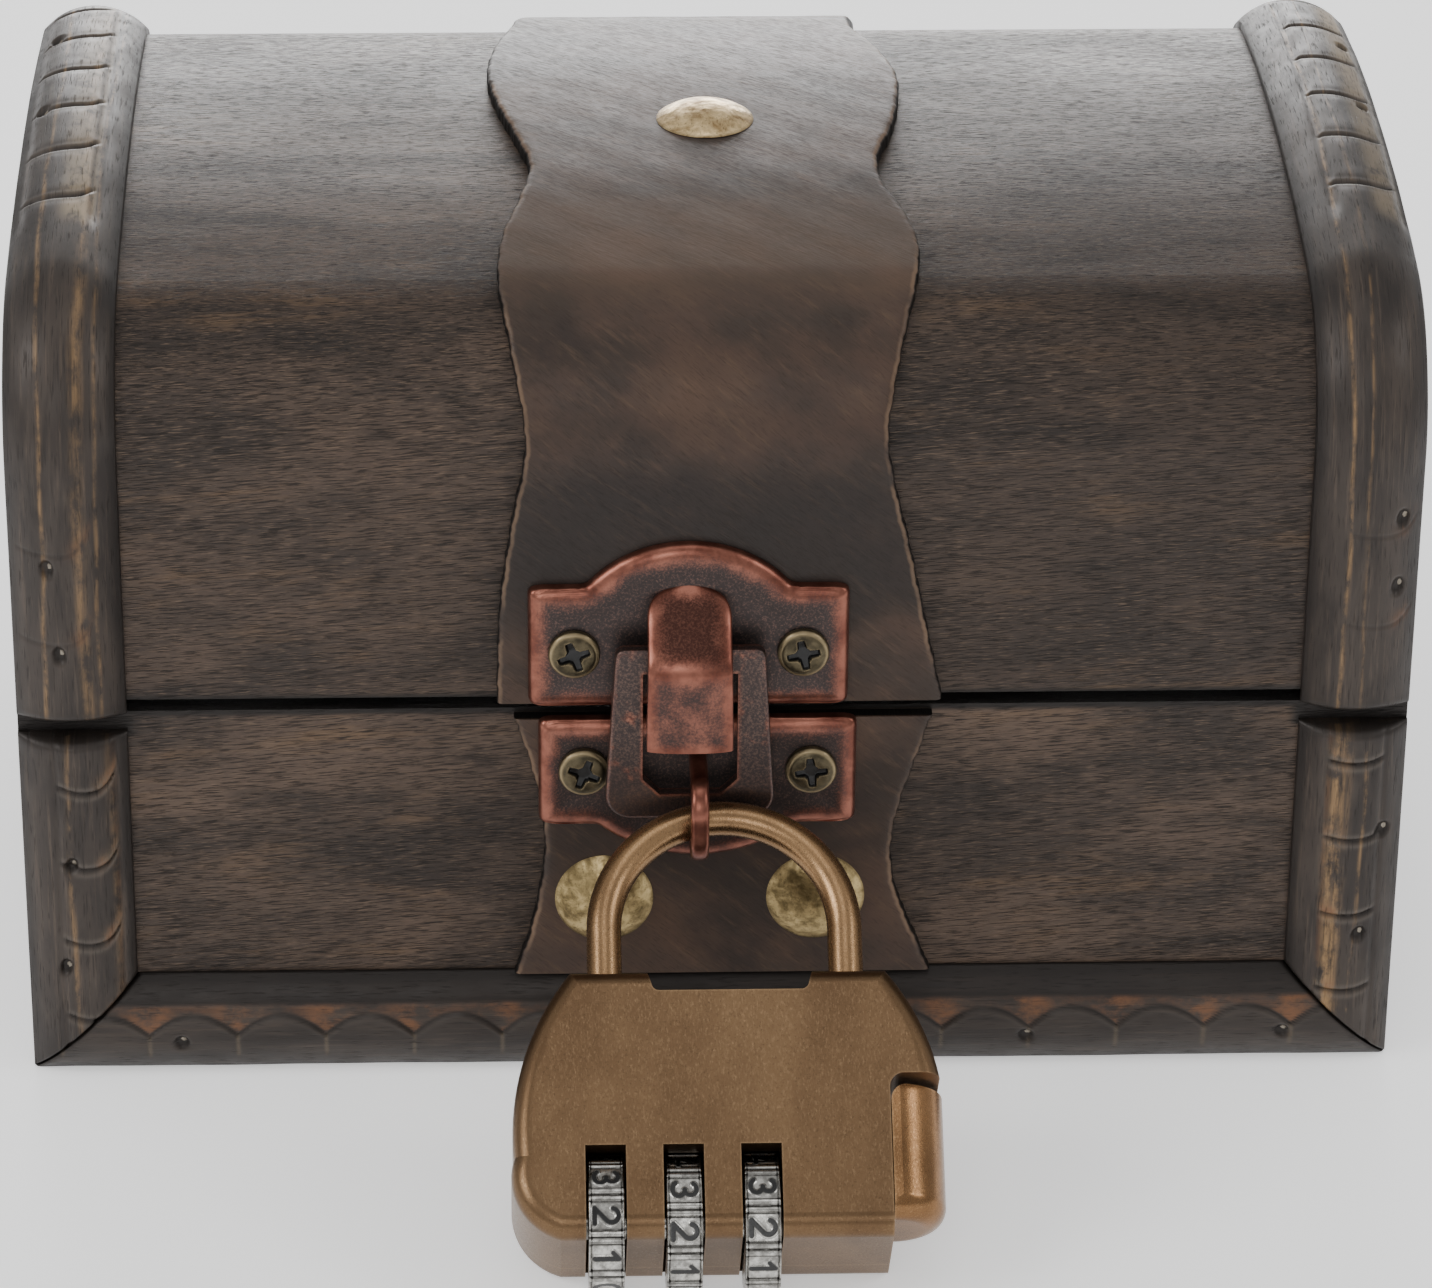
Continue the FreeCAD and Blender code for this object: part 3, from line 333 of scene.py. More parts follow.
def arch_line(inset, length):
    """Point (y, z) and outward direction at an arc length along the lid's arch, from its front lower edge.

    Upright, shoulder arc, crown arc, shoulder arc, upright: the outward angle grows along each arc, and
    each arc adds its radius times the change of the outward direction. Also gives the whole length."""
    half, top, crown, shoulder = HALF_D - inset, LID_TOP - inset, CROWN - inset, SHOULDER - inset
    centre = half - shoulder
    spring = top - crown + math.sqrt((crown - shoulder) ** 2 - centre ** 2)
    lean = math.atan2(spring - top + crown, centre)
    upright = spring - LID_LOW
    ends = np.cumsum([upright, shoulder * lean, crown * (math.pi - 2 * lean), shoulder * lean])
    first = np.clip((length - ends[0]) / shoulder, 0, lean)
    over = np.clip((length - ends[1]) / crown, 0, math.pi - 2 * lean)
    last = np.clip((length - ends[2]) / shoulder, 0, lean)

    def outward(angle):
        return np.stack([-np.cos(angle), np.sin(angle)], -1)

    place = np.array([-half, LID_LOW]) + shoulder * (outward(first) - outward(0.0))
    place = place + crown * (outward(lean + over) - outward(lean))
    place = place + shoulder * (outward(math.pi - lean + last) - outward(math.pi - lean))
    place[..., 1] += np.clip(length, None, upright) - np.clip(length - ends[3], 0, None)
    return place, outward(first + over + last), ends[3] + upright


def rise_between(value, low, high):
    """0 below low, 1 above high, with a smooth S between them."""
    part = np.clip((value - low) / (high - low), 0, 1)
    return part * part * (3 - 2 * part)


def bell(value, middle, width):
    """1 at the middle, falling away as a Gaussian of this width."""
    return np.exp(-((value - middle) / width) ** 2)


def band(value, low, high, soft):
    """1 between low and high, with a smooth S of the soft width inside each of them, and 0 outside."""
    return rise_between(value, low, low + soft) * (1 - rise_between(value, high - soft, high))


def half_round():
    """Section of a moulding as (across, out): an arc between two lips, then the flat back at 0 out."""
    half = MOULD_W / 2
    sag = MOULD_PROUD - MOULD_LIP
    radius = (half ** 2 + sag ** 2) / (2 * sag)
    lean = math.asin(half / radius)
    angle = np.linspace(-lean, lean, ARC_POINTS)
    back = [half, half * 0.4, -half * 0.4, -half]
    across = np.concatenate([radius * np.sin(angle), back])
    out = np.concatenate([radius * (np.cos(angle) - 1) + MOULD_PROUD, np.zeros_like(back)])
    return across, out


def arc_gaps(across, along, pitch, first, bend, curl, middle, half):
    """How far each point is past the nearest of the arcs pressed across a moulding, along it.

    An arc's place along grows with the square of the distance from the row's middle, so it hangs like a
    smile, and with the fourth power of it towards +across, so that end curls up. Also gives that distance
    over the row's half width, a mask of the row and a steady chance value per cell."""
    q = (across - middle) / half
    turn = (along - first - bend * q ** 2 - curl * np.clip(q, 0, None) ** 4) / pitch
    number = np.round(turn)
    inside = 1 - rise_between(np.abs(q), 0.92, 1.14)
    chance = 0.5 + 0.5 * np.sin(np.floor(turn) * 12.99 + first)
    return (turn - number) * pitch, q, inside, chance


def hoop_marks(**row):
    """Pillows on the crown between arcs, with cream-rubbed cells; only traces of arcs near the foot."""
    def marks(across, along):
        gap, q, inside, chance = arc_gaps(across, along, **row)
        crown = band(along, 48, 104, 4)
        foot = 0.3 * band(along, 3, 23, 2)
        groove = bell(gap, 0, 0.2) * inside * (0.9 * crown + foot)
        lip = bell(np.abs(gap), 0.55, 0.3) * inside * crown
        cream = inside * rise_between(q, -0.1, 0.5) * (1 - rise_between(q, 0.82, 1.0))
        cream = cream * (0.3 + 0.7 * chance) * (1 - bell(gap, 0, 0.7))
        cream = crown * np.maximum(cream, 0.4 * bell(q, 1.06, 0.07))
        tan = foot * 2 * bell(gap, 0.3, 0.9) * bell(q, 0.75, 0.3)
        press = crown * np.maximum(0.6 * bell(gap, 0, 1.0) * inside, 1.2 * bell(np.abs(q), 1.1, 0.16))
        return {"groove": groove, "lip": lip, "cream": cream, "tan": tan, "press": press}
    return marks


def post_marks(inner, **row):
    """Arcs across a post, with tan rubbed corners towards the panel."""
    def marks(across, along):
        gap, q, inside, chance = arc_gaps(across, along, **row)
        groove = 0.8 * bell(gap, 0, 0.2) * inside
        lip = bell(np.abs(gap), 0.5, 0.28) * inside
        corner = rise_between(q * inner, 0.1, 0.6) * inside
        rubbed = bell(gap, 0.6, 0.8) * corner * (0.5 + 0.5 * chance)
        side = 0.3 * bell(q * inner, 1.0, 0.08)
        press = np.maximum(0.5 * bell(gap, 0, 0.8) * inside, 0.6 * bell(np.abs(q), 1.08, 0.12))
        tan = np.maximum(rubbed, side)
        return {"groove": groove, "lip": lip, "cream": 0.2 * rubbed, "tan": tan, "press": press}
    return marks


def rail_marks(pitch, first):
    """Round-topped scallops along a rail; an edge falls with the square of the distance from its middle."""
    def marks(across, along):
        turn = (along - first) / pitch
        cell = 2 * (turn - np.floor(turn)) - 1
        edge = 1.6 - 2.05 * cell ** 2
        above = rise_between(across - edge, 0.0, 0.35) * (1 - rise_between(across, 2.3, 2.9))
        cusp = bell((1 - np.abs(cell)) * pitch / 2, 0, 0.16) * (across < edge)
        cusp = cusp * rise_between(across, -3.6, -2.4)
        groove = 0.8 * bell(across, edge, 0.17) + 0.25 * cusp + 0.85 * rise_between(across, 2.3, 2.8)
        lip = 0.5 * bell(across, edge - 0.4, 0.25)
        tan = above * (0.35 + 0.65 * rise_between(np.abs(cell), 0.3, 0.95))
        # Painted shade: the rail's lower half, below the scallops, is darkened
        shade = 0.5 * (1 - above)
        return {"groove": groove, "lip": lip, "cream": 0.3 * cusp, "tan": tan, "press": above,
                "shade": shade}
    return marks


def moulding(name, line, start, stop, marks, lines, nails, round_ends, seed):
    """Half-round carried along a line, with pressed marks, tan worn lines and nail pits.

    The line gives a point and an outward direction for a place along and a place across; start and stop
    give the ends for each place across, so a mitre is a slanting end. An end rounded over some length drops
    like part of a quarter circle and is dark; an end with 0 there is a mitre with a groove. Worn lines are
    (across, width, strength), and nails are (across, along)."""
    across, out = half_round()
    front = out > 0
    first, last = start(across), stop(across)
    count = int((last - first).max() / GRID_STEP)
    part = np.linspace(0, 1, count)[:, None]
    along = first + (last - first) * part
    a = np.broadcast_to(across, along.shape)
    fields = marks(a, along)
    sway = 0.04 * np.sin(along * 0.23 + a * 0.4 + seed) + 0.02 * np.sin(along * 0.61 - a * 0.7 + 2 * seed)
    press = fields.pop("press")
    shade = fields.pop("shade", 0.0)
    marked = GROOVE_DEEP * fields["groove"] + PRESS_DEEP * press - LIP_HIGH * fields["lip"]
    height = out - front * (SINK + sway + marked)
    nail = np.zeros_like(along)
    pit = np.zeros_like(along)
    for spot_across, spot_along in nails:
        dx, dy = a - spot_across, along - spot_along
        gap = np.hypot(dx, dy * 0.8) * (1 + 0.12 * np.sin(2 * np.arctan2(dy, dx) + seed))
        pit = np.maximum(pit, 1 - rise_between(gap, 0.35, 0.85))
        nail = np.maximum(nail, 1 - rise_between(np.hypot(dx - 0.25, (dy - 0.2) * 0.7), 0.15, 0.35))
    height = height - front * PIT_DEEP * pit
    worn = np.zeros_like(along)
    for middle, width, strength in lines:
        drift = middle + 0.22 * np.sin(along * 0.11 + middle + seed) + 0.06 * np.sin(along * 0.5)
        worn = np.maximum(worn, strength * bell(a, drift, width))
    mitre = np.zeros_like(along)
    # end also carries the marks' shade, which on the rails is painted shade on the lower half
    end = shade + np.zeros_like(along)
    for distance, rounded in ((along - first, round_ends[0]), (last - along, round_ends[1])):
        near = np.clip(1 - distance / max(rounded, 0.01), 0, 1)
        height = np.where(front, height - (height - 0.2) * (1 - np.sqrt(1 - near ** 2)) * 0.6, height)
        mitre = mitre + bell(distance, 0, 0.3) * (rounded == 0)
        end = end + bell(distance, 0, 1.0) * (rounded > 0)
    height = height - front * MITRE_DEEP * mitre
    place, outward = line(along, a)
    fields |= {"lay": np.stack([a, along, np.full_like(a, 13.0 * seed)], -1), "worn": worn, "pit": pit,
               "nail": nail * front, "groove": np.clip(fields["groove"] + mitre, 0, 1), "end": end}
    return shell_object(name, [loft_shell(place + outward * height[..., None], fields)], 50)


def hoop_line(middle):
    """Line over the lid at one distance from the middle of the chest."""
    def line(along, across):
        place, outward, _ = arch_line(MOULD_PROUD, along)
        x = np.full_like(along, middle) + across
        return (np.concatenate([x[..., None], place], -1),
                np.concatenate([np.zeros_like(x)[..., None], outward], -1))
    return line


def board_line(face, spot):
    """Straight line on the front or back boards; spot gives x and z for places along and across."""
    def line(along, across):
        x, z = spot(along, across)
        out = np.zeros(along.shape + (3,))
        out[..., 1] = np.sign(face)
        return np.stack([x, np.full_like(along, face), z], -1), out
    return line


def level(value):
    """The same end for every place across."""
    return lambda across: np.full_like(across, value)


def hoops():
    """The lid's two hoops."""
    length = arch_line(MOULD_PROUD, np.zeros(1))[2]
    left_lines = [(-2.0, 0.17, 0.7), (1.7, 0.5, 0.5), (3.1, 0.14, 0.55)]
    left_nails = [(-1.5, 15.2), (-0.7, 6.2), (-3.1, 92.5), (-3.3, 73.0)]
    right_lines = [(-1.9, 0.15, 0.85), (0.0, 0.11, 0.5)]
    right_nails = [(3.1, 19.0), (3.0, 12.0), (3.3, 88.1), (3.3, 72.5)]
    left_marks = hoop_marks(pitch=9.35, first=54.0, bend=0.4, curl=1.5, middle=-0.9, half=3.2)
    right_marks = hoop_marks(pitch=9.4, first=55.0, bend=0.3, curl=1.2, middle=1.4, half=3.0)
    looks = (("left", -1, left_marks, left_lines, left_nails),
             ("right", 1, right_marks, right_lines, right_nails))
    for seed, (name, side, marks, lines, nails) in enumerate(looks, start=1):
        made = moulding(f"carved_{name}_hoop", hoop_line(side * MOULD_X), level(-HOOP_DROP), level(length),
                        marks, lines, nails, round_ends=(END_ROUND, END_ROUND), seed=seed)
        stand_for(made, "lid", "moulding_wood", moulding_wood, f"lid_{name}_hoop")


def base_frames():
    """Front and back posts and rails, mitred together at the foot."""
    def left_end(across):
        return -MOULD_X + across

    def right_end(across):
        return MOULD_X - across

    def along_foot(along, across):
        return along, MOULD_W / 2 + across

    left_marks = post_marks(inner=1, pitch=8.3, first=6.4, bend=0.7, curl=1.2, middle=1.2, half=2.6)
    right_marks = post_marks(inner=-1, pitch=8.3, first=8.3, bend=0.3, curl=0.2, middle=0.2, half=2.5)
    post_looks = (
        ("left", -1, left_marks, [(-0.4, 0.2, 0.6), (3.4, 0.3, 0.3)], [(-0.5, 23.5), (-1.4, 12.4)]),
        ("right", 1, right_marks, [(-1.2, 0.75, 1.0), (1.0, 0.14, 0.7)], [(3.1, 25.8), (1.4, 14.6)]))
    scallops = rail_marks(pitch=8.4, first=-53.75)
    rail_nails = [(-1.2, -50.7), (-1.4, 30.0), (-1.2, 54.6)]
    for seed, end, sign, top in ((3, "front", -1, POST_TOP), (6, "back", 1, BACK_POST_TOP)):
        for name, side, marks, lines, nails in post_looks:
            def foot(across, side=side):
                return MOULD_W / 2 - side * across

            def upright(along, across, side=side):
                return side * MOULD_X + across, along

            made = moulding(f"carved_{end}_{name}_post", board_line(sign * FACE, upright), foot, level(top),
                            marks, lines, nails, round_ends=(0, END_ROUND), seed=seed + 0.5 * side)
            stand_for(made, "base", "moulding_wood", moulding_wood, f"base_{end}_{name}_post")
        made = moulding(f"carved_{end}_rail", board_line(sign * FACE, along_foot), left_end, right_end,
                        scallops, [], rail_nails, round_ends=(0, 0), seed=seed + 2)
        stand_for(made, "base", "moulding_wood", moulding_wood, f"base_{end}_rail")


# Straps: thin bent boards with wavy edges

def through(knots, at):
    """Smooth curve through (place, value) knots: cubic pieces whose slopes come from the neighbours."""
    place, value = np.array(knots, float).T
    slope = np.gradient(value, place)
    i = np.clip(np.searchsorted(place, at) - 1, 0, len(place) - 2)
    gap = place[i + 1] - place[i]
    t = np.clip((at - place[i]) / gap, 0, 1)
    return (value[i] * (1 + 2 * t) * (1 - t) ** 2 + slope[i] * gap * t * (1 - t) ** 2
            + value[i + 1] * t * t * (3 - 2 * t) + slope[i + 1] * gap * t * t * (t - 1))


# Edges as (place along, x): over the arch for the lid strap, upward for the base strap
STRAP_DRAWN = 149
LID_STRAP_LEFT = [(0, -20.4), (11, -20.0), (20, -18.8), (27.5, -17.6), (35, -18.7), (43, -19.9),
                  (51, -19.5), (58, -17.9), (64.7, -16.9), (71, -18.1), (79.8, -20.0), (87, -20.8),
                  (95, -20.2), (103.4, -18.4), (112, -17.2), (122, -18.4), (134, -19.8),
                  (STRAP_DRAWN, -20.4)]
LID_STRAP_RIGHT = [(0, 21.1), (8.5, 19.4), (17, 17.7), (23.2, 16.3), (28.2, 15.6), (33, 16.3), (38, 17.4),
                   (43, 18.5), (49, 19.0), (55, 18.0), (61.2, 16.2), (66, 16.1), (73, 17.8), (80, 18.8),
                   (86, 19.1), (94, 17.8), (103, 15.4), (113, 16.4), (124, 18.4), (136, 20.0),
                   (STRAP_DRAWN, 20.8)]
BASE_STRAP_LEFT = [(10.4, -18.9), (14, -17.7), (19, -16.6), (24, -16.0), (29, -16.4), (34, -17.5),
                   (38.2, -18.8)]
BASE_STRAP_RIGHT = [(10.4, 20.6), (14, 19.2), (19, 17.3), (24, 16.7), (29, 17.5), (34, 19.0), (38.2, 20.2)]
# Taken off the base strap's heights, so that the finish's bands along the lid strap don't reach it
BASE_STRAP_SHIFT = 40


def strap(name, along, left, right, place, outward):
    """Thin board between two edge curves: a flat section with small rounded corners and ragged sides."""
    inset = np.concatenate([[0.0, 0.0, 0.05, 0.18, 0.4, 0.75, 1.3], np.linspace(2.2, 8.0, 8)])
    height = np.concatenate([[0.0, 0.95, 1.2, 1.37, 1.47], np.full(10, STRAP_THICK)])
    middle = np.linspace(0, 1, 40)[1:-1]
    upward = along[:, None]
    ragged = 0.05 * np.sin(along * 1.9) + 0.03 * np.sin(along * 4.7 + 1) + 0.02 * np.sin(along * 7.3 + 2)
    low = (through(left, along) + ragged)[:, None]
    high = (through(right, along) + np.roll(ragged, 37))[:, None]
    inner_low = low + inset[-1]
    inner_high = high - inset[-1]
    x = np.concatenate([low + inset, inner_low + (inner_high - inner_low) * middle, high - inset[::-1]], 1)
    h = np.concatenate([height, np.full(len(middle), STRAP_THICK), height[::-1]])
    gap = np.minimum(x - low, high - x)
    h = h - (h > 1.3) * 0.03 * (1 + np.sin(x * 0.7 + upward * 0.31) * np.sin(upward * 0.53))
    spots = place[:, None, :] + outward[:, None, :] * h[..., None]
    rings = np.concatenate([x[..., None], spots], -1)
    fields = {"lay": np.stack([x, np.broadcast_to(upward, x.shape), h], -1), "gap": gap, "height": h}
    return shell_object(name, [loft_shell(rings, fields)], 50)


def straps():
    """Lid strap over the arch from front to back, and the flat strap below it on the base's front."""
    length = arch_line(MOULD_PROUD, np.zeros(1))[2]
    along = np.linspace(0, length, 520)
    place, outward, _ = arch_line(MOULD_PROUD, along)
    drawn = along * STRAP_DRAWN / length
    made = strap("wavy_lid_strap", drawn, LID_STRAP_LEFT, LID_STRAP_RIGHT, place, outward)
    stand_for(made, "lid", "strap_wood", strap_wood, "lid_strap")
    low, high = (v[2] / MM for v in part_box("base_strap"))
    upward = np.linspace(low, high, 140)
    place = np.stack([np.full_like(upward, -FACE), upward], -1)
    outward = np.stack([np.full_like(upward, -1.0), np.zeros_like(upward)], -1)
    edges = (BASE_STRAP_LEFT, BASE_STRAP_RIGHT)
    left, right = ([(z - BASE_STRAP_SHIFT, x) for z, x in edge] for edge in edges)
    made = strap("waisted_base_strap", upward - BASE_STRAP_SHIFT, left, right, place, outward)
    stand_for(made, "base", "strap_wood", strap_wood, "base_strap")


# Latch: pressed plates with rolled rims, a folded bill, a bent ring and cross-slotted screws

def plate_shell(middle, height, half, ear, foot, rise, flip):
    """Eared plate with a round bulge, as rings that shrink from its edge to its middle.

    In each direction the edge is the farther of the ear block's side and the bulge's circle. The face rises
    from the strap as a quarter circle of the distance to the edge, then dips a little."""
    angle = np.linspace(0, 2 * math.pi, 360, endpoint=False)
    c, s = np.cos(angle), np.sin(angle)
    bulge = 9.5
    side_high = 0.3
    roll_high = 1.1
    roll_wide = 1.5
    radius = (bulge ** 2 + rise ** 2) / (2 * rise)
    offset = ear + rise - radius
    block = np.minimum(half / np.abs(c + 1e-9), np.where(s > 0, ear, foot) / np.abs(s + 1e-9))
    round_part = offset * s + np.sqrt(np.maximum(radius ** 2 - (offset * c) ** 2, 0))
    edge = np.where(s > 0, np.maximum(block, round_part), block)
    weights = np.hanning(9) / np.hanning(9).sum()
    edge = np.convolve(np.concatenate([edge[-4:], edge, edge[:4]]), weights, "valid")
    shrink = 1 - np.linspace(0, 0.985, 46) ** 1.5
    x, z = shrink[:, None] * edge * c, shrink[:, None] * edge * s
    rim = np.min(np.hypot(x[..., None] - edge * c, z[..., None] - edge * s), -1)
    rim[0] = 0
    roll = np.sqrt(1 - (1 - np.clip(rim / roll_wide, 0, 1)) ** 2)
    face = side_high + roll_high * roll - 0.1 * rise_between(rim, roll_wide, 3.6)
    x, z, face, rim = (np.concatenate([v[:1], v]) for v in (x, z, face, rim))
    face[0] = 0
    rings = np.stack([middle + x, -STRAP_FACE - face, height + flip * z], -1)
    return loft_shell(rings, {"rim": rim, "red": 0 * rim})


def bent_bar(run, slope, widths, thick, power, crown):
    """Rings of a bar bent in the YZ plane, given its slope below level at each place along its run.

    Its section is a superellipse, swollen on the outer side by the crown. Also gives the section's places
    across, from -1 to 1."""
    step = np.diff(run, prepend=run[0])
    path = np.stack([-np.cumsum(np.cos(slope) * step), -np.cumsum(np.sin(slope) * step)], -1)
    outer = np.stack([-np.sin(slope), np.cos(slope)], -1)
    turn = np.linspace(0, 2 * math.pi, 56, endpoint=False)
    c = np.sign(np.cos(turn)) * np.abs(np.cos(turn)) ** (2 / power)
    s = np.sign(np.sin(turn)) * np.abs(np.sin(turn)) ** (2 / power)
    out = thick * s + crown * (s > 0) * (1 - c ** 2)
    x = widths[:, None] * c
    yz = path[:, None, :] + outer[:, None, :] * out[..., None]
    return np.concatenate([x[..., None], yz], -1), c


def bill_shell():
    """Bill: slopes forward off the plate under an arched top, folds over and hangs down."""
    half = 3.9
    cap_length = 3.6
    cap_power = 2.7
    fold_at = 8.3
    run = np.linspace(0, 16.2, 150)
    slope = np.radians(36 + 14 * rise_between(run, 0, 7) + 39 * rise_between(run, 7.0, 9.4))
    cap = np.clip((run + 0.05) / cap_length, 0, 1)
    widths = half * (1 - (1 - cap) ** cap_power) ** (1 / cap_power) + 0.12 * rise_between(run, 6, 16)
    rings, across = bent_bar(run, slope, widths, thick=0.55, power=3.4, crown=0.25)
    # Distances that the finish turns to bright copper: along the bill's side edges, arched top and fold
    # this is partly rubbed copper and partly a painted highlight
    side = widths[:, None] * (1 - np.abs(across)) + 0.25
    fold = 0.5 + np.abs(run - fold_at)[:, None] * 0.9
    lip = 0.35 + (run[-1] - run)[:, None]
    top = 0.3 + 0.9 * run[:, None]
    face = 1.5 + 9 * (run < fold_at)[:, None]
    rim = np.minimum(np.minimum(np.minimum(side, fold), np.minimum(lip, top)), face)
    # red marks the upper slope, which the finish colours a darker red-brown: partly patina, partly painted
    # shade
    red = np.broadcast_to(1 - rise_between(run, 7.2, 8.6)[:, None], rim.shape)
    return loft_shell(rings + np.array([UPPER_X, -42.0, 52.4]), {"rim": rim, "red": red})


def ring_shell():
    """Ring: out of the plate, round two bends and back into it."""
    bend = 2.4
    run = np.linspace(0, 21.94, 170)
    slope = sum(np.clip((run - start) / bend, 0, math.pi / 2) for start in (6.05, 12.12))
    rings, _ = bent_bar(run, slope, np.full_like(run, 0.86), thick=0.62, power=2.5, crown=0.0)
    rim = np.full(rings.shape[:2], 0.4)
    return loft_shell(rings + np.array([LOWER_X, -42.2, 35.1]), {"rim": rim, "red": 0 * rim})


def pan_head(x, z, turned):
    """Screw head: flat with a rounded shoulder, and a cross recess whose arms narrow outward."""
    angle = np.linspace(0, 2 * math.pi, 144, endpoint=False)
    r = np.concatenate([[SCREW_RADIUS, SCREW_RADIUS], np.linspace(2.36, 0.02, 46)])[:, None]
    u = r * np.cos(angle - turned)
    v = r * np.sin(angle - turned)
    deep = np.zeros_like(u)
    for p, q in ((u, v), (v, u)):
        wide = 0.46 - 0.1 * np.abs(p)
        arm = 1 - rise_between(np.abs(q), wide - 0.1, wide + 0.06)
        deep = np.maximum(deep, arm * (1 - rise_between(np.abs(p), 1.35, 1.6)))
    deep = np.maximum(deep, 1 - rise_between(np.hypot(u, v), 0.6, 0.85))
    shoulder = np.sqrt(1 - (np.clip(r - 1.2, 0, None) / 1.22) ** 2)
    face = 0.25 + 0.7 * shoulder + 0 * u
    face = face - 0.62 * deep * (1 - 0.3 * rise_between(r, 0.5, 1.5)) - 0.04 * bell(r, 2.0, 0.1)
    face[0] = 0
    rings = np.stack([x + r * np.cos(angle), -PLATE_FACE - face, z + r * np.sin(angle)], -1)
    return loft_shell(rings, {"recess": deep, "edge": bell(r, 2.2, 0.16) + 0 * u})


def latch():
    """Both plates with what stands off them, and their screws."""
    upper = plate_shell(UPPER_X, height=47.0, half=PLATE_HALF, ear=5.5, foot=6.9, rise=4.4, flip=1)
    lower = plate_shell(LOWER_X, height=32.6, half=PLATE_HALF, ear=5.2, foot=6.1, rise=3.6, flip=-1)
    made = shell_object("billed_lid_plate", [upper, bill_shell()], 50)
    stand_for(made, "lid", "red_copper", red_copper, "latch_upper_plate")
    made = shell_object("ringed_base_plate", [lower, ring_shell()], 50)
    stand_for(made, "base", "red_copper", red_copper, "latch_lower_plate")
    for name, body, middle, z, turns in (("upper", "lid", UPPER_X, 46.0, (0.35, 0.2)),
                                         ("lower", "base", LOWER_X, 33.5, (1.2, 0.1))):
        heads = [pan_head(middle + side * SCREW_X, z, turn) for side, turn in zip((-1, 1), turns)]
        made = shell_object(f"cross_{name}_screws", heads, 45)
        stand_for(made, body, "dull_brass", dull_brass, f"latch_{name}_screws")


# Padlock dials, with sizes in the upright padlock's own frame

LOCK_PLACE = np.array([0.4, -47.6, 30.5])
LOCK_TURN = math.radians(-53)
DIAL_Y = -0.6
DIAL_Z = -39.5
DIAL_HALF = 1.6
DIAL_BORE = 1.3
DIAL_HUB = 3.4
DIAL_FLAT = 6.06
DIAL_RIB = 6.44
CELL_ANGLE = 36
DIGIT_RADIUS = 5.9
DIGIT_SIZE = np.array([1.6, 2.16])


def in_lock(x, y, z):
    """World place of points given in the upright padlock's own frame."""
    c, s = math.cos(LOCK_TURN), math.sin(LOCK_TURN)
    return np.stack([x, y * c - z * s, y * s + z * c], -1) + LOCK_PLACE


def bow(cx, cy, rx, ry, start, stop):
    """Points along part of an ellipse, angles in degrees."""
    angle = np.radians(np.linspace(start, stop, 13))
    return np.stack([cx + rx * np.cos(angle), cy + ry * np.sin(angle)], -1)


def joined(*runs):
    """Runs of points as one chain."""
    return np.concatenate([np.asarray(run, float) for run in runs])


# The digits from 0 to 9 as chains of points in a box one wide and one high
DIGITS = [
    [bow(0.5, 0.5, 0.38, 0.5, 0, 360)],
    [joined([(0.2, 0.76), (0.56, 1.0), (0.56, 0.0)])],
    [joined(bow(0.48, 0.7, 0.38, 0.3, 165, -35), [(0.08, 0.0), (0.92, 0.0)])],
    [bow(0.44, 0.75, 0.38, 0.25, 150, -85), bow(0.44, 0.26, 0.44, 0.26, 85, -150)],
    [joined([(0.7, 0.0), (0.7, 1.0), (0.06, 0.28), (0.96, 0.28)])],
    [joined([(0.86, 1.0), (0.22, 1.0), (0.14, 0.54)], bow(0.46, 0.31, 0.42, 0.31, 120, -150))],
    [bow(0.5, 0.3, 0.4, 0.3, 0, 360), bow(0.74, 0.34, 0.64, 0.66, 180, 88)],
    [joined([(0.06, 1.0), (0.92, 1.0), (0.38, 0.0)])],
    [bow(0.5, 0.76, 0.32, 0.24, 0, 360), bow(0.5, 0.27, 0.4, 0.27, 0, 360)],
    [bow(0.5, 0.7, 0.4, 0.3, 0, 360), bow(0.26, 0.66, 0.64, 0.66, 0, -88)],
]


def stroke_gap(u, v, strokes):
    """Distance from each point to the nearest of a digit's strokes, each a chain of straight pieces."""
    best = np.full(u.shape, 9.0)
    for chain in strokes:
        for (x0, y0), (x1, y1) in zip(chain[:-1], chain[1:]):
            dx, dy = x1 - x0, y1 - y0
            t = np.clip(((u - x0) * dx + (v - y0) * dy) / (dx * dx + dy * dy + 1e-12), 0, 1)
            best = np.minimum(best, np.hypot(u - x0 - t * dx, v - y0 - t * dy))
    return best


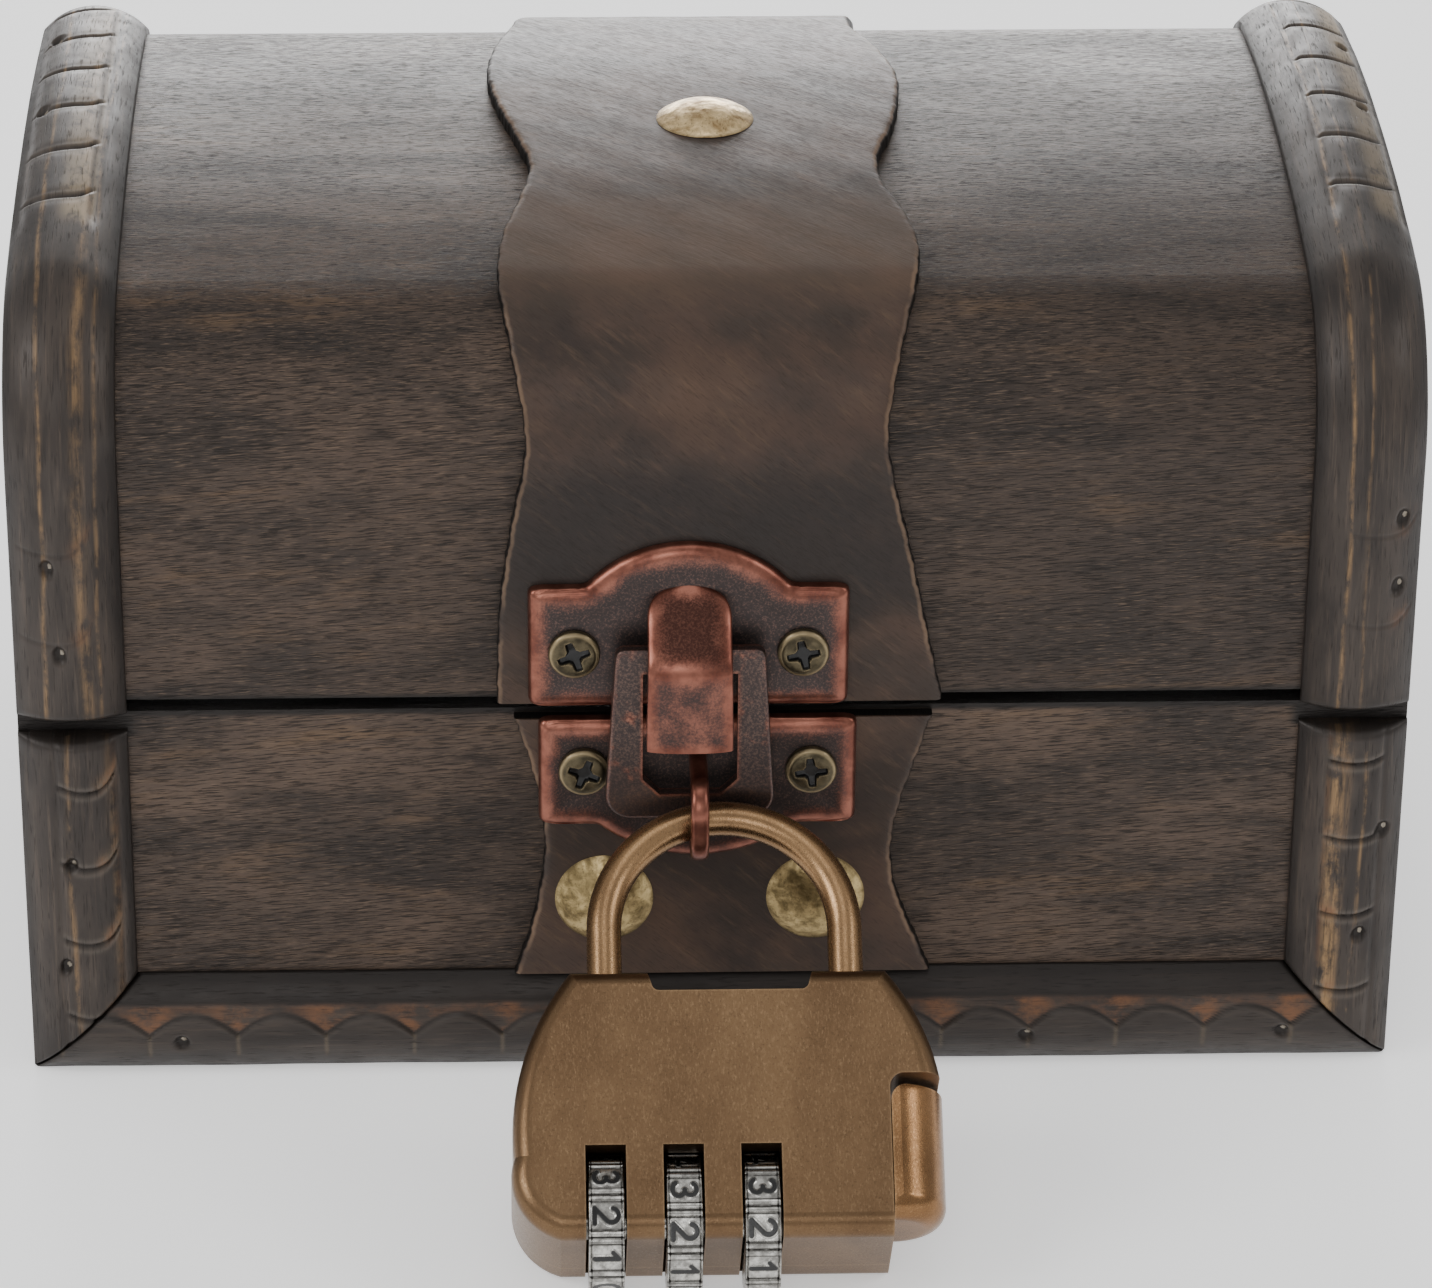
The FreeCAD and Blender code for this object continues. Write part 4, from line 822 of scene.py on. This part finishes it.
def dial(name, middle, turned):
    """Ten-sided wheel: flat cells with raised digits, grooved ribs at the corners, thin rims at the sides.

    The digits' tops point along +X, and they count up towards the shackle."""
    cell = 56
    turn = (np.arange(10 * cell) + 0.5) / cell
    x = np.linspace(-DIAL_HALF, DIAL_HALF, 54)
    number = np.floor(turn).astype(int)
    inside = 2 * (turn - number) - 1
    lean = np.radians(CELL_ANGLE / 2 * inside)
    angle = np.radians(CELL_ANGLE * (turn - 0.5) + turned)
    off = np.abs(inside)[:, None]
    edge = DIAL_HALF - np.abs(x)[None, :]
    flat = DIAL_FLAT / np.cos(lean)[:, None]
    rib = rise_between(off, 0.68, 0.74)
    notch = bell(off, 1, 0.07)
    radius = flat * (1 - rib) + (DIAL_RIB - 0.14 * notch) * rib
    rim = (1 - rise_between(edge, 0.14, 0.22)) * (1 - rib)
    radius = radius + 0.16 * rim
    radius = radius - 0.12 * (1 - rise_between(edge, 0.0, 0.09))
    arc = lean * DIGIT_RADIUS
    gap = np.full(radius.shape, 9.0)
    for k, strokes in enumerate(DIGITS):
        rows = number == k
        u, v = np.broadcast_arrays(DIGIT_SIZE[0] / 2 - arc[rows][:, None], x[None, :] + DIGIT_SIZE[1] / 2)
        gap[rows] = stroke_gap(u, v, [chain * DIGIT_SIZE for chain in strokes])
    ink = 1 - rise_between(gap, 0.2, 0.26)
    outline = bell(gap, 0.31, 0.06)
    radius = radius + 0.1 * (1 - rise_between(gap, 0.2, 0.36))
    crease_dark = (bell(off, 0.66, 0.05) + notch + bell(edge, 0.26, 0.05)) * (1 - outline)
    sides = np.tile([DIAL_HUB, DIAL_BORE, DIAL_BORE, DIAL_HUB], (len(turn), 1))
    reach = np.concatenate([radius, sides], 1)
    across = np.concatenate([x, [DIAL_HALF, DIAL_HALF, -DIAL_HALF, -DIAL_HALF]])[None, :] + 0 * reach
    y = DIAL_Y - reach * np.cos(angle)[:, None]
    z = DIAL_Z + reach * np.sin(angle)[:, None]
    points = in_lock(across + middle, y, z)
    plain = np.zeros_like(sides)
    marks = {"ink": ink, "crease_dark": crease_dark}
    fields = {key: np.concatenate([values, plain], 1).ravel() for key, values in marks.items()}
    faces = grid_faces(len(turn), across.shape[1], True, True)
    return shell_object(name, [shell(points.reshape(-1, 3), [faces], fields)], 35)


def dials():
    """The padlock's three dials, each turned to its own digit."""
    for label, middle, turned in (("left", -11.35, -82), ("middle", -4.35, -96), ("right", 2.65, -93.5)):
        made = dial(f"numbered_{label}_dial", middle, turned)
        stand_for(made, f"padlock_{label}_dial", "dial_nickel", dial_nickel, f"padlock_{label}_dial")


# Finishes

WOOD_GLOSS = 0.35
WOOD_TINT = (1.0, 0.92, 0.88, 1.0)
LID_ARCH = 1.9
STRAP_ARCH = 1.4
# The padlock's foot, as a height once its finish has turned places upright
LOCK_FOOT = -64.0


def arched(f, depth, under):
    """Bump of some millimetres from the lid's middle to its shoulders, which changes only the shading."""
    return f.bump(f.step(f.maths("ABSOLUTE", f.part(f.place, "Y")), 42, 10), depth, under)


def stained_board(name, turn, pale, arch=0.0):
    """Board finish: dark stain, fine short dashes along the grain, tan and dark smudges, pale worn edges.

    It is painted black as shade in the gap between lid and base and above the post tops. An arch, in
    millimetres, is for the lid, whose right half is also darkened as painted shade."""
    f = Finish(name)
    grain = f.stretch(f.place, (1, 1, 1), turn=turn)
    cloud = f.noise(f.stretch(grain, (0.035, 0.09, 0.09)), detail=4, rough=0.6, warp=0.5)
    smudge = f.noise(f.stretch(grain, (0.045, 0.15, 0.15), move=(4, 6, 3)), detail=5, rough=0.65)
    streak = f.noise(f.stretch(grain, (0.08, 0.8, 0.8), move=(2, 8, 5)), detail=4, rough=0.65)
    dash = f.noise(f.stretch(grain, (0.55, 10.0, 10.0)), detail=2, rough=0.6)
    pore = f.noise(f.stretch(grain, (0.45, 9.0, 9.0), move=(9, 4, 7)), detail=2, rough=0.6)
    f.colour = f.mix(f.step(cloud, 0.3, 0.7), seen(36, 29, 25), pale)
    f.stain(f.step(smudge, 0.5, 0.32, 0.0, 0.8), 24, 20, 18)
    f.stain(f.times(f.step(smudge, 0.5, 0.68, 0.0, 0.6), f.step(streak, 0.4, 0.64)), 98, 76, 54)
    f.stain(f.step(dash, 0.52, 0.7, 0.0, 0.5), 112, 93, 76)
    dark = f.step(pore, 0.52, 0.64)
    f.stain(f.times(dark, 0.85), 20, 17, 15)
    f.stain(f.times(f.worn_edge(0.4), 0.25), 130, 104, 78)
    height = f.part(f.place, "Z")
    side = f.step(f.maths("ABSOLUTE", f.part(f.place, "X")), HALF_W - MOULD_W - 1.5, HALF_W - MOULD_W)
    side = f.times(side, f.step(height, POST_TOP - 1.0, POST_TOP - 0.4))
    # Painted shade: near black in the gap between lid and base, and on the board above the post tops under
    # the hoops
    painted_gap_shade = f.maths("MAXIMUM", f.step(height, JOINT_LOW - 0.6, JOINT_LOW), side)
    painted_gap_shade = f.times(painted_gap_shade, f.step(height, LID_LOW + 0.7, LID_LOW))
    f.stain(painted_gap_shade, 13, 11, 10)
    relief = f.minus(f.times(dash, 0.5), f.times(dark, 0.5))
    rough = f.plus(f.step(smudge, 0.3, 0.7, 0.5, 0.42), f.times(dark, 0.25))
    normal = f.bump(relief, 0.06)
    if arch:
        # Painted shade: the lid darkens in patches towards its right half, away from the light on the left
        right = f.step(f.part(f.place, "X"), 5, 45, 0.0, 0.4)
        f.stain(f.times(right, f.step(cloud, 0.35, 0.6)), 22, 19, 18)
        normal = arched(f, arch, normal)
    f.set(Roughness=rough, Normal=normal, Specular_IOR_Level=WOOD_GLOSS, Specular_Tint=WOOD_TINT)
    return f.material


def scuffed_strap():
    """Strap finish: smooth brown, dark clouds, fine slanting scuffs, a faint pale edge, a painted sheen
    over the shoulders, and sides painted black as shade.
    """
    f = Finish("strap_wood")
    lay = f.field("lay", "Vector")
    cloud = f.noise(f.stretch(lay, (0.05, 0.07, 0.2)), detail=5, rough=0.6, warp=0.4)
    warm = f.noise(f.stretch(lay, (0.08, 0.1, 0.3), move=(5, 3, 2)), detail=4, rough=0.6)
    slanting = f.stretch(lay, (1, 1, 1), turn=(0, 0, -50))
    scuff = f.noise(f.stretch(slanting, (1.6, 0.25, 1.0)), detail=5, rough=0.65)
    fine = f.noise(f.stretch(slanting, (9.0, 0.9, 1.0)), detail=2, rough=0.6)
    upward = f.part(lay, "Y")
    low = f.times(f.step(upward, 6, 14), f.step(upward, 32, 20))
    f.colour = f.mix(f.step(warm, 0.3, 0.72), seen(44, 35, 30), seen(70, 52, 41))
    f.stain(f.step(f.plus(cloud, f.times(low, 0.2)), 0.46, 0.72, 0.0, 0.75), 26, 22, 20)
    f.stain(f.step(scuff, 0.5, 0.75, 0.0, 0.25), 100, 78, 58)
    f.stain(f.step(fine, 0.54, 0.72, 0.0, 0.35), 28, 23, 20)
    f.stain(f.times(low, 0.6), 20, 17, 16)
    # Painted sheen: a paler grey band over the shoulders and the front of the crown
    shoulder = f.times(f.step(upward, 37, 46), f.step(upward, 62, 52))
    f.stain(f.times(shoulder, 0.35), 104, 86, 72)
    edge = f.step(f.field("gap"), 0.6, 0.3)
    top = f.step(f.field("height"), 1.15, 1.35)
    rubbed = f.times(f.times(edge, top), f.step(warm, 0.4, 0.6))
    f.stain(f.times(rubbed, 0.4), 132, 106, 82)
    # Painted shade: everything below the top face, that is the strap's sides, is painted near black
    f.colour = f.mix(top, seen(12, 10, 9), f.colour)
    relief = f.plus(f.times(scuff, 0.4), f.times(fine, 0.3))
    normal = arched(f, STRAP_ARCH, f.bump(relief, 0.05))
    f.set(Roughness=f.step(fine, 0.4, 0.7, 0.42, 0.62), Normal=normal,
          Specular_IOR_Level=WOOD_GLOSS, Specular_Tint=WOOD_TINT)
    return f.material


def carved_wood():
    """Moulding finish: grain along it, black grooves with light lips, tan and cream spots, nail pits."""
    f = Finish("moulding_wood")
    lay = f.field("lay", "Vector")
    broad = f.noise(f.stretch(lay, (0.3, 0.07, 1.0)), detail=4, rough=0.6, warp=0.4)
    lines = f.noise(f.stretch(lay, (2.0, 0.1, 1.0)), detail=4, rough=0.65)
    pores = f.noise(f.stretch(lay, (6.0, 0.4, 1.0)), detail=2, rough=0.6)
    mottle = f.noise(f.stretch(lay, (0.6, 0.3, 1.0)), detail=5, rough=0.65)
    f.colour = f.mix(f.step(broad, 0.3, 0.7), seen(34, 30, 28), seen(58, 51, 46))
    f.stain(f.step(lines, 0.5, 0.75, 0.0, 0.45), 90, 77, 66)
    f.stain(f.times(f.field("lip"), 0.3), 104, 96, 88)
    worn = f.times(f.field("worn"), f.step(mottle, 0.36, 0.6))
    worn = f.times(worn, f.step(lines, 0.3, 0.62, 0.2, 1.0))
    f.stain(f.times(worn, 0.8), 160, 126, 84)
    cream = f.times(f.field("cream"), f.step(mottle, 0.26, 0.52))
    f.stain(f.times(cream, 0.9), 170, 150, 120)
    tan = f.times(f.field("tan"), f.step(mottle, 0.36, 0.66))
    f.stain(f.times(tan, 0.9), 106, 70, 44)
    side = f.step(f.maths("ABSOLUTE", f.part(lay, "X")), 4.0, 4.8)
    f.stain(f.times(side, 0.7), 20, 17, 16)
    pore = f.step(pores, 0.54, 0.7)
    f.stain(f.times(pore, 0.5), 20, 17, 15)
    # Dark rounded ends, and on the rails painted shade on the lower half
    f.stain(f.times(f.field("end"), 0.7), 22, 19, 17)
    dark = f.maths("MAXIMUM", f.field("groove"), f.field("pit"))
    f.stain(f.times(dark, 0.85), 12, 10, 9)
    nail = f.step(f.field("nail"), 0.5, 0.8)
    f.stain(nail, 140, 132, 120)
    relief = f.minus(f.times(lines, 0.4), f.times(pore, 0.3))
    rough = f.plus(f.step(mottle, 0.3, 0.7, 0.5, 0.38), f.times(pore, 0.2))
    f.set(Roughness=rough, Metallic=nail, Normal=f.bump(relief, 0.05),
          Specular_IOR_Level=WOOD_GLOSS, Specular_Tint=WOOD_TINT)
    return f.material


def patinated_copper():
    """Latch finish: sooty brown middle with copper speckle, rubbed red copper along rims and folds, which
    on the bill is partly a painted highlight. The bill's upper slope is a darker red-brown, partly patina
    and partly painted shade.
    """
    f = Finish("red_copper")
    red = f.field("red")
    cloud = f.noise(f.place, 2.6, detail=4, rough=0.6, warp=0.3)
    speck = f.noise(f.place, 0.22, detail=3, rough=0.7)
    soot = f.mix(f.step(speck, 0.45, 0.72), seen(62, 56, 55), seen(100, 80, 74))
    # warm is the darker red-brown of the bill's upper slope: partly patina, partly painted shade
    warm = f.mix(f.step(speck, 0.4, 0.7), seen(64, 40, 34), seen(92, 60, 50))
    bright = f.mix(f.step(cloud, 0.3, 0.7), seen(102, 59, 48), seen(142, 92, 77))
    near = f.plus(f.field("rim"), f.step(cloud, 0.3, 0.7, 0.28, -0.28))
    near = f.plus(near, f.step(speck, 0.3, 0.7, 0.3, -0.3))
    f.colour = f.mix(f.step(near, 2.3, 0.4), f.mix(red, soot, warm), bright)
    relief = f.plus(f.times(cloud, 0.6), f.times(speck, 0.2))
    f.set(Metallic=0.9, Roughness=f.step(near, 0.5, 2.6, 0.3, 0.46), Normal=f.bump(relief, 0.04))
    return f.material


def edge_rubbed_copper(name):
    """Sooty copper whose edges are rubbed bright."""
    f = Finish(name)
    cloud = f.noise(f.place, 2.0, detail=4, rough=0.6, warp=0.4)
    speck = f.noise(f.place, 0.22, detail=3, rough=0.7)
    soot = f.mix(f.step(speck, 0.4, 0.7), seen(66, 59, 58), seen(100, 82, 75))
    bright = f.mix(f.step(speck, 0.3, 0.65), seen(108, 62, 50), seen(158, 106, 88))
    rub = f.plus(f.worn_edge(0.7), f.step(cloud, 0.5, 0.8, 0.0, 0.7))
    f.colour = f.mix(f.step(rub, 0.05, 0.8), soot, bright)
    f.set(Metallic=0.9, Roughness=f.step(speck, 0.3, 0.7, 0.46, 0.32), Normal=f.bump(cloud, 0.03))
    return f.material


def mottled_brass(name, dark, pale):
    """Rivet finish: yellow aged brass with soft dark mottling and shallow dents."""
    f = Finish(name)
    dents = f.noise(f.place, 1.6, detail=2, rough=0.5)
    blotch = f.noise(f.place, 1.8, detail=5, rough=0.65, warp=0.3)
    speck = f.noise(f.place, 0.25, detail=2, rough=0.6)
    f.colour = f.mix(f.step(blotch, 0.3, 0.66), dark, pale)
    f.stain(f.step(speck, 0.55, 0.75, 0.0, 0.6), 70, 58, 40)
    f.stain(f.times(f.worn_edge(0.4), 0.5), 60, 48, 34)
    relief = f.plus(f.times(dents, 0.9), f.times(speck, 0.05))
    f.set(Metallic=0.92, Roughness=f.step(blotch, 0.3, 0.7, 0.44, 0.28), Normal=f.bump(relief, 0.2))
    return f.material


def olive_brass():
    """Screw finish: dull olive brass with speckle, a rubbed rim and a black recess."""
    f = Finish("dull_brass")
    smear = f.noise(f.place, 1.4, detail=3, rough=0.6)
    speck = f.noise(f.place, 0.3, detail=3, rough=0.65)
    recess = f.step(f.field("recess"), 0.1, 0.5)
    f.colour = f.mix(f.step(smear, 0.3, 0.7), seen(56, 51, 40), seen(94, 85, 66))
    f.stain(f.step(speck, 0.55, 0.75, 0.0, 0.6), 54, 48, 38)
    rub = f.maths("MAXIMUM", f.field("edge"), f.worn_edge(0.3))
    f.stain(f.times(rub, 0.55), 178, 158, 122)
    f.stain(recess, 8, 7, 7)
    f.set(Metallic=f.minus(0.95, recess),
          Roughness=f.step(speck, 0.3, 0.7, 0.5, 0.34), Normal=f.bump(smear, 0.03))
    return f.material


def antique_bronze(name, deep, middle, bright, rough):
    """Padlock finish: soft clouds, very fine scratches and speckle along it, pale edges and painted shade
    at its foot.
    """
    f = Finish(name)
    upright = f.stretch(f.place, (1, 1, 1), turn=(-math.degrees(LOCK_TURN), 0, 0))
    cloud = f.noise(f.stretch(upright, (0.12, 0.12, 0.06)), detail=4, rough=0.6)
    scratch = f.noise(f.stretch(upright, (9.0, 9.0, 3.0)), detail=3, rough=0.65)
    speck = f.noise(upright, 0.2, detail=2, rough=0.7)
    f.colour = f.mix(f.step(cloud, 0.3, 0.7), deep, middle)
    f.colour = f.mix(f.step(scratch, 0.5, 0.75, 0.0, 0.2), f.colour, bright)
    f.stain(f.step(speck, 0.54, 0.72, 0.0, 0.45), 66, 50, 35)
    f.colour = f.mix(f.times(f.worn_edge(0.4), 0.3), f.colour, bright)
    # Painted shade: the padlock darkens over its last few millimetres towards its foot
    low = f.step(f.part(upright, "Z"), LOCK_FOOT + 2.5, LOCK_FOOT)
    f.stain(f.times(low, 0.85), 54, 40, 28)
    relief = f.plus(f.times(scratch, 0.5), f.times(speck, 0.4))
    f.set(Metallic=0.92, Normal=f.bump(relief, 0.015),
          Roughness=f.step(scratch, 0.3, 0.7, rough + 0.06, rough - 0.05))
    return f.material


def numbered_nickel():
    """Dial finish: bright plate with black filled digits, darker in the corners and creases."""
    f = Finish("dial_nickel")
    smear = f.noise(f.place, 0.9, detail=4, rough=0.6)
    f.colour = f.mix(f.step(smear, 0.35, 0.7), seen(128, 126, 122), seen(200, 198, 192))
    # Darker in the creases: at the foot of each rib, in the rib's notch and inside the rims
    crease_dark = f.times(f.field("crease_dark"), f.step(smear, 0.25, 0.5))
    f.stain(crease_dark, 28, 26, 24)
    ink = f.field("ink")
    f.stain(ink, 10, 10, 10)
    f.set(Metallic=f.minus(1.0, ink),
          Roughness=f.step(smear, 0.3, 0.7, 0.34, 0.2), Normal=f.bump(smear, 0.01))
    return f.material


studio()
photo_camera()

panel_wood = stained_board("panel_wood", (0, 4, 0), seen(82, 67, 56))
end_wood = stained_board("end_wood", (0, 0, 90), seen(68, 55, 46))
lid_wood = stained_board("lid_wood", (0, 4, 0), seen(68, 55, 46), LID_ARCH)
strap_wood = scuffed_strap()
moulding_wood = carved_wood()
aged_brass = mottled_brass("aged_brass", seen(94, 80, 52), seen(180, 158, 112))
pale_brass = mottled_brass("pale_brass", seen(140, 114, 78), seen(236, 208, 158))
red_copper = patinated_copper()
loop_copper = edge_rubbed_copper("loop_copper")
dull_brass = olive_brass()
hinge_metal = edge_rubbed_copper("hinge_metal")
lock_bronze = antique_bronze("lock_bronze", seen(96, 74, 53), seen(114, 90, 65), seen(180, 150, 114),
                             rough=0.32)
lock_copper = antique_bronze("lock_copper", seen(104, 76, 50), seen(148, 110, 74), seen(222, 184, 138),
                             rough=0.22)
shackle_bronze = antique_bronze("shackle_bronze", seen(126, 98, 70), seen(152, 120, 86),
                                seen(206, 174, 134), rough=0.26)
dial_nickel = numbered_nickel()
finishes = {"panel_wood": panel_wood, "strap_wood": strap_wood, "moulding_wood": moulding_wood,
            "aged_brass": aged_brass, "red_copper": red_copper, "dull_brass": dull_brass,
            "hinge_metal": hinge_metal, "lock_bronze": lock_bronze, "lock_copper": lock_copper,
            "dial_nickel": dial_nickel}
own_finishes = {"latch_loop": loop_copper, "lid_curved_panel": lid_wood, "lid_strap_rivet": pale_brass,
                "padlock_shackle": shackle_bronze, "base_left_end": end_wood, "base_right_end": end_wood,
                "lid_left_end": end_wood, "lid_right_end": end_wood}
for part in frame["record"]["subparts"]:
    solid = frame["nodes"][part["node"]].data
    solid.materials.clear()
    solid.materials.append(own_finishes.get(part["node"], finishes[part["material_slot"]]))

hoops()
base_frames()
straps()
latch()
dials()
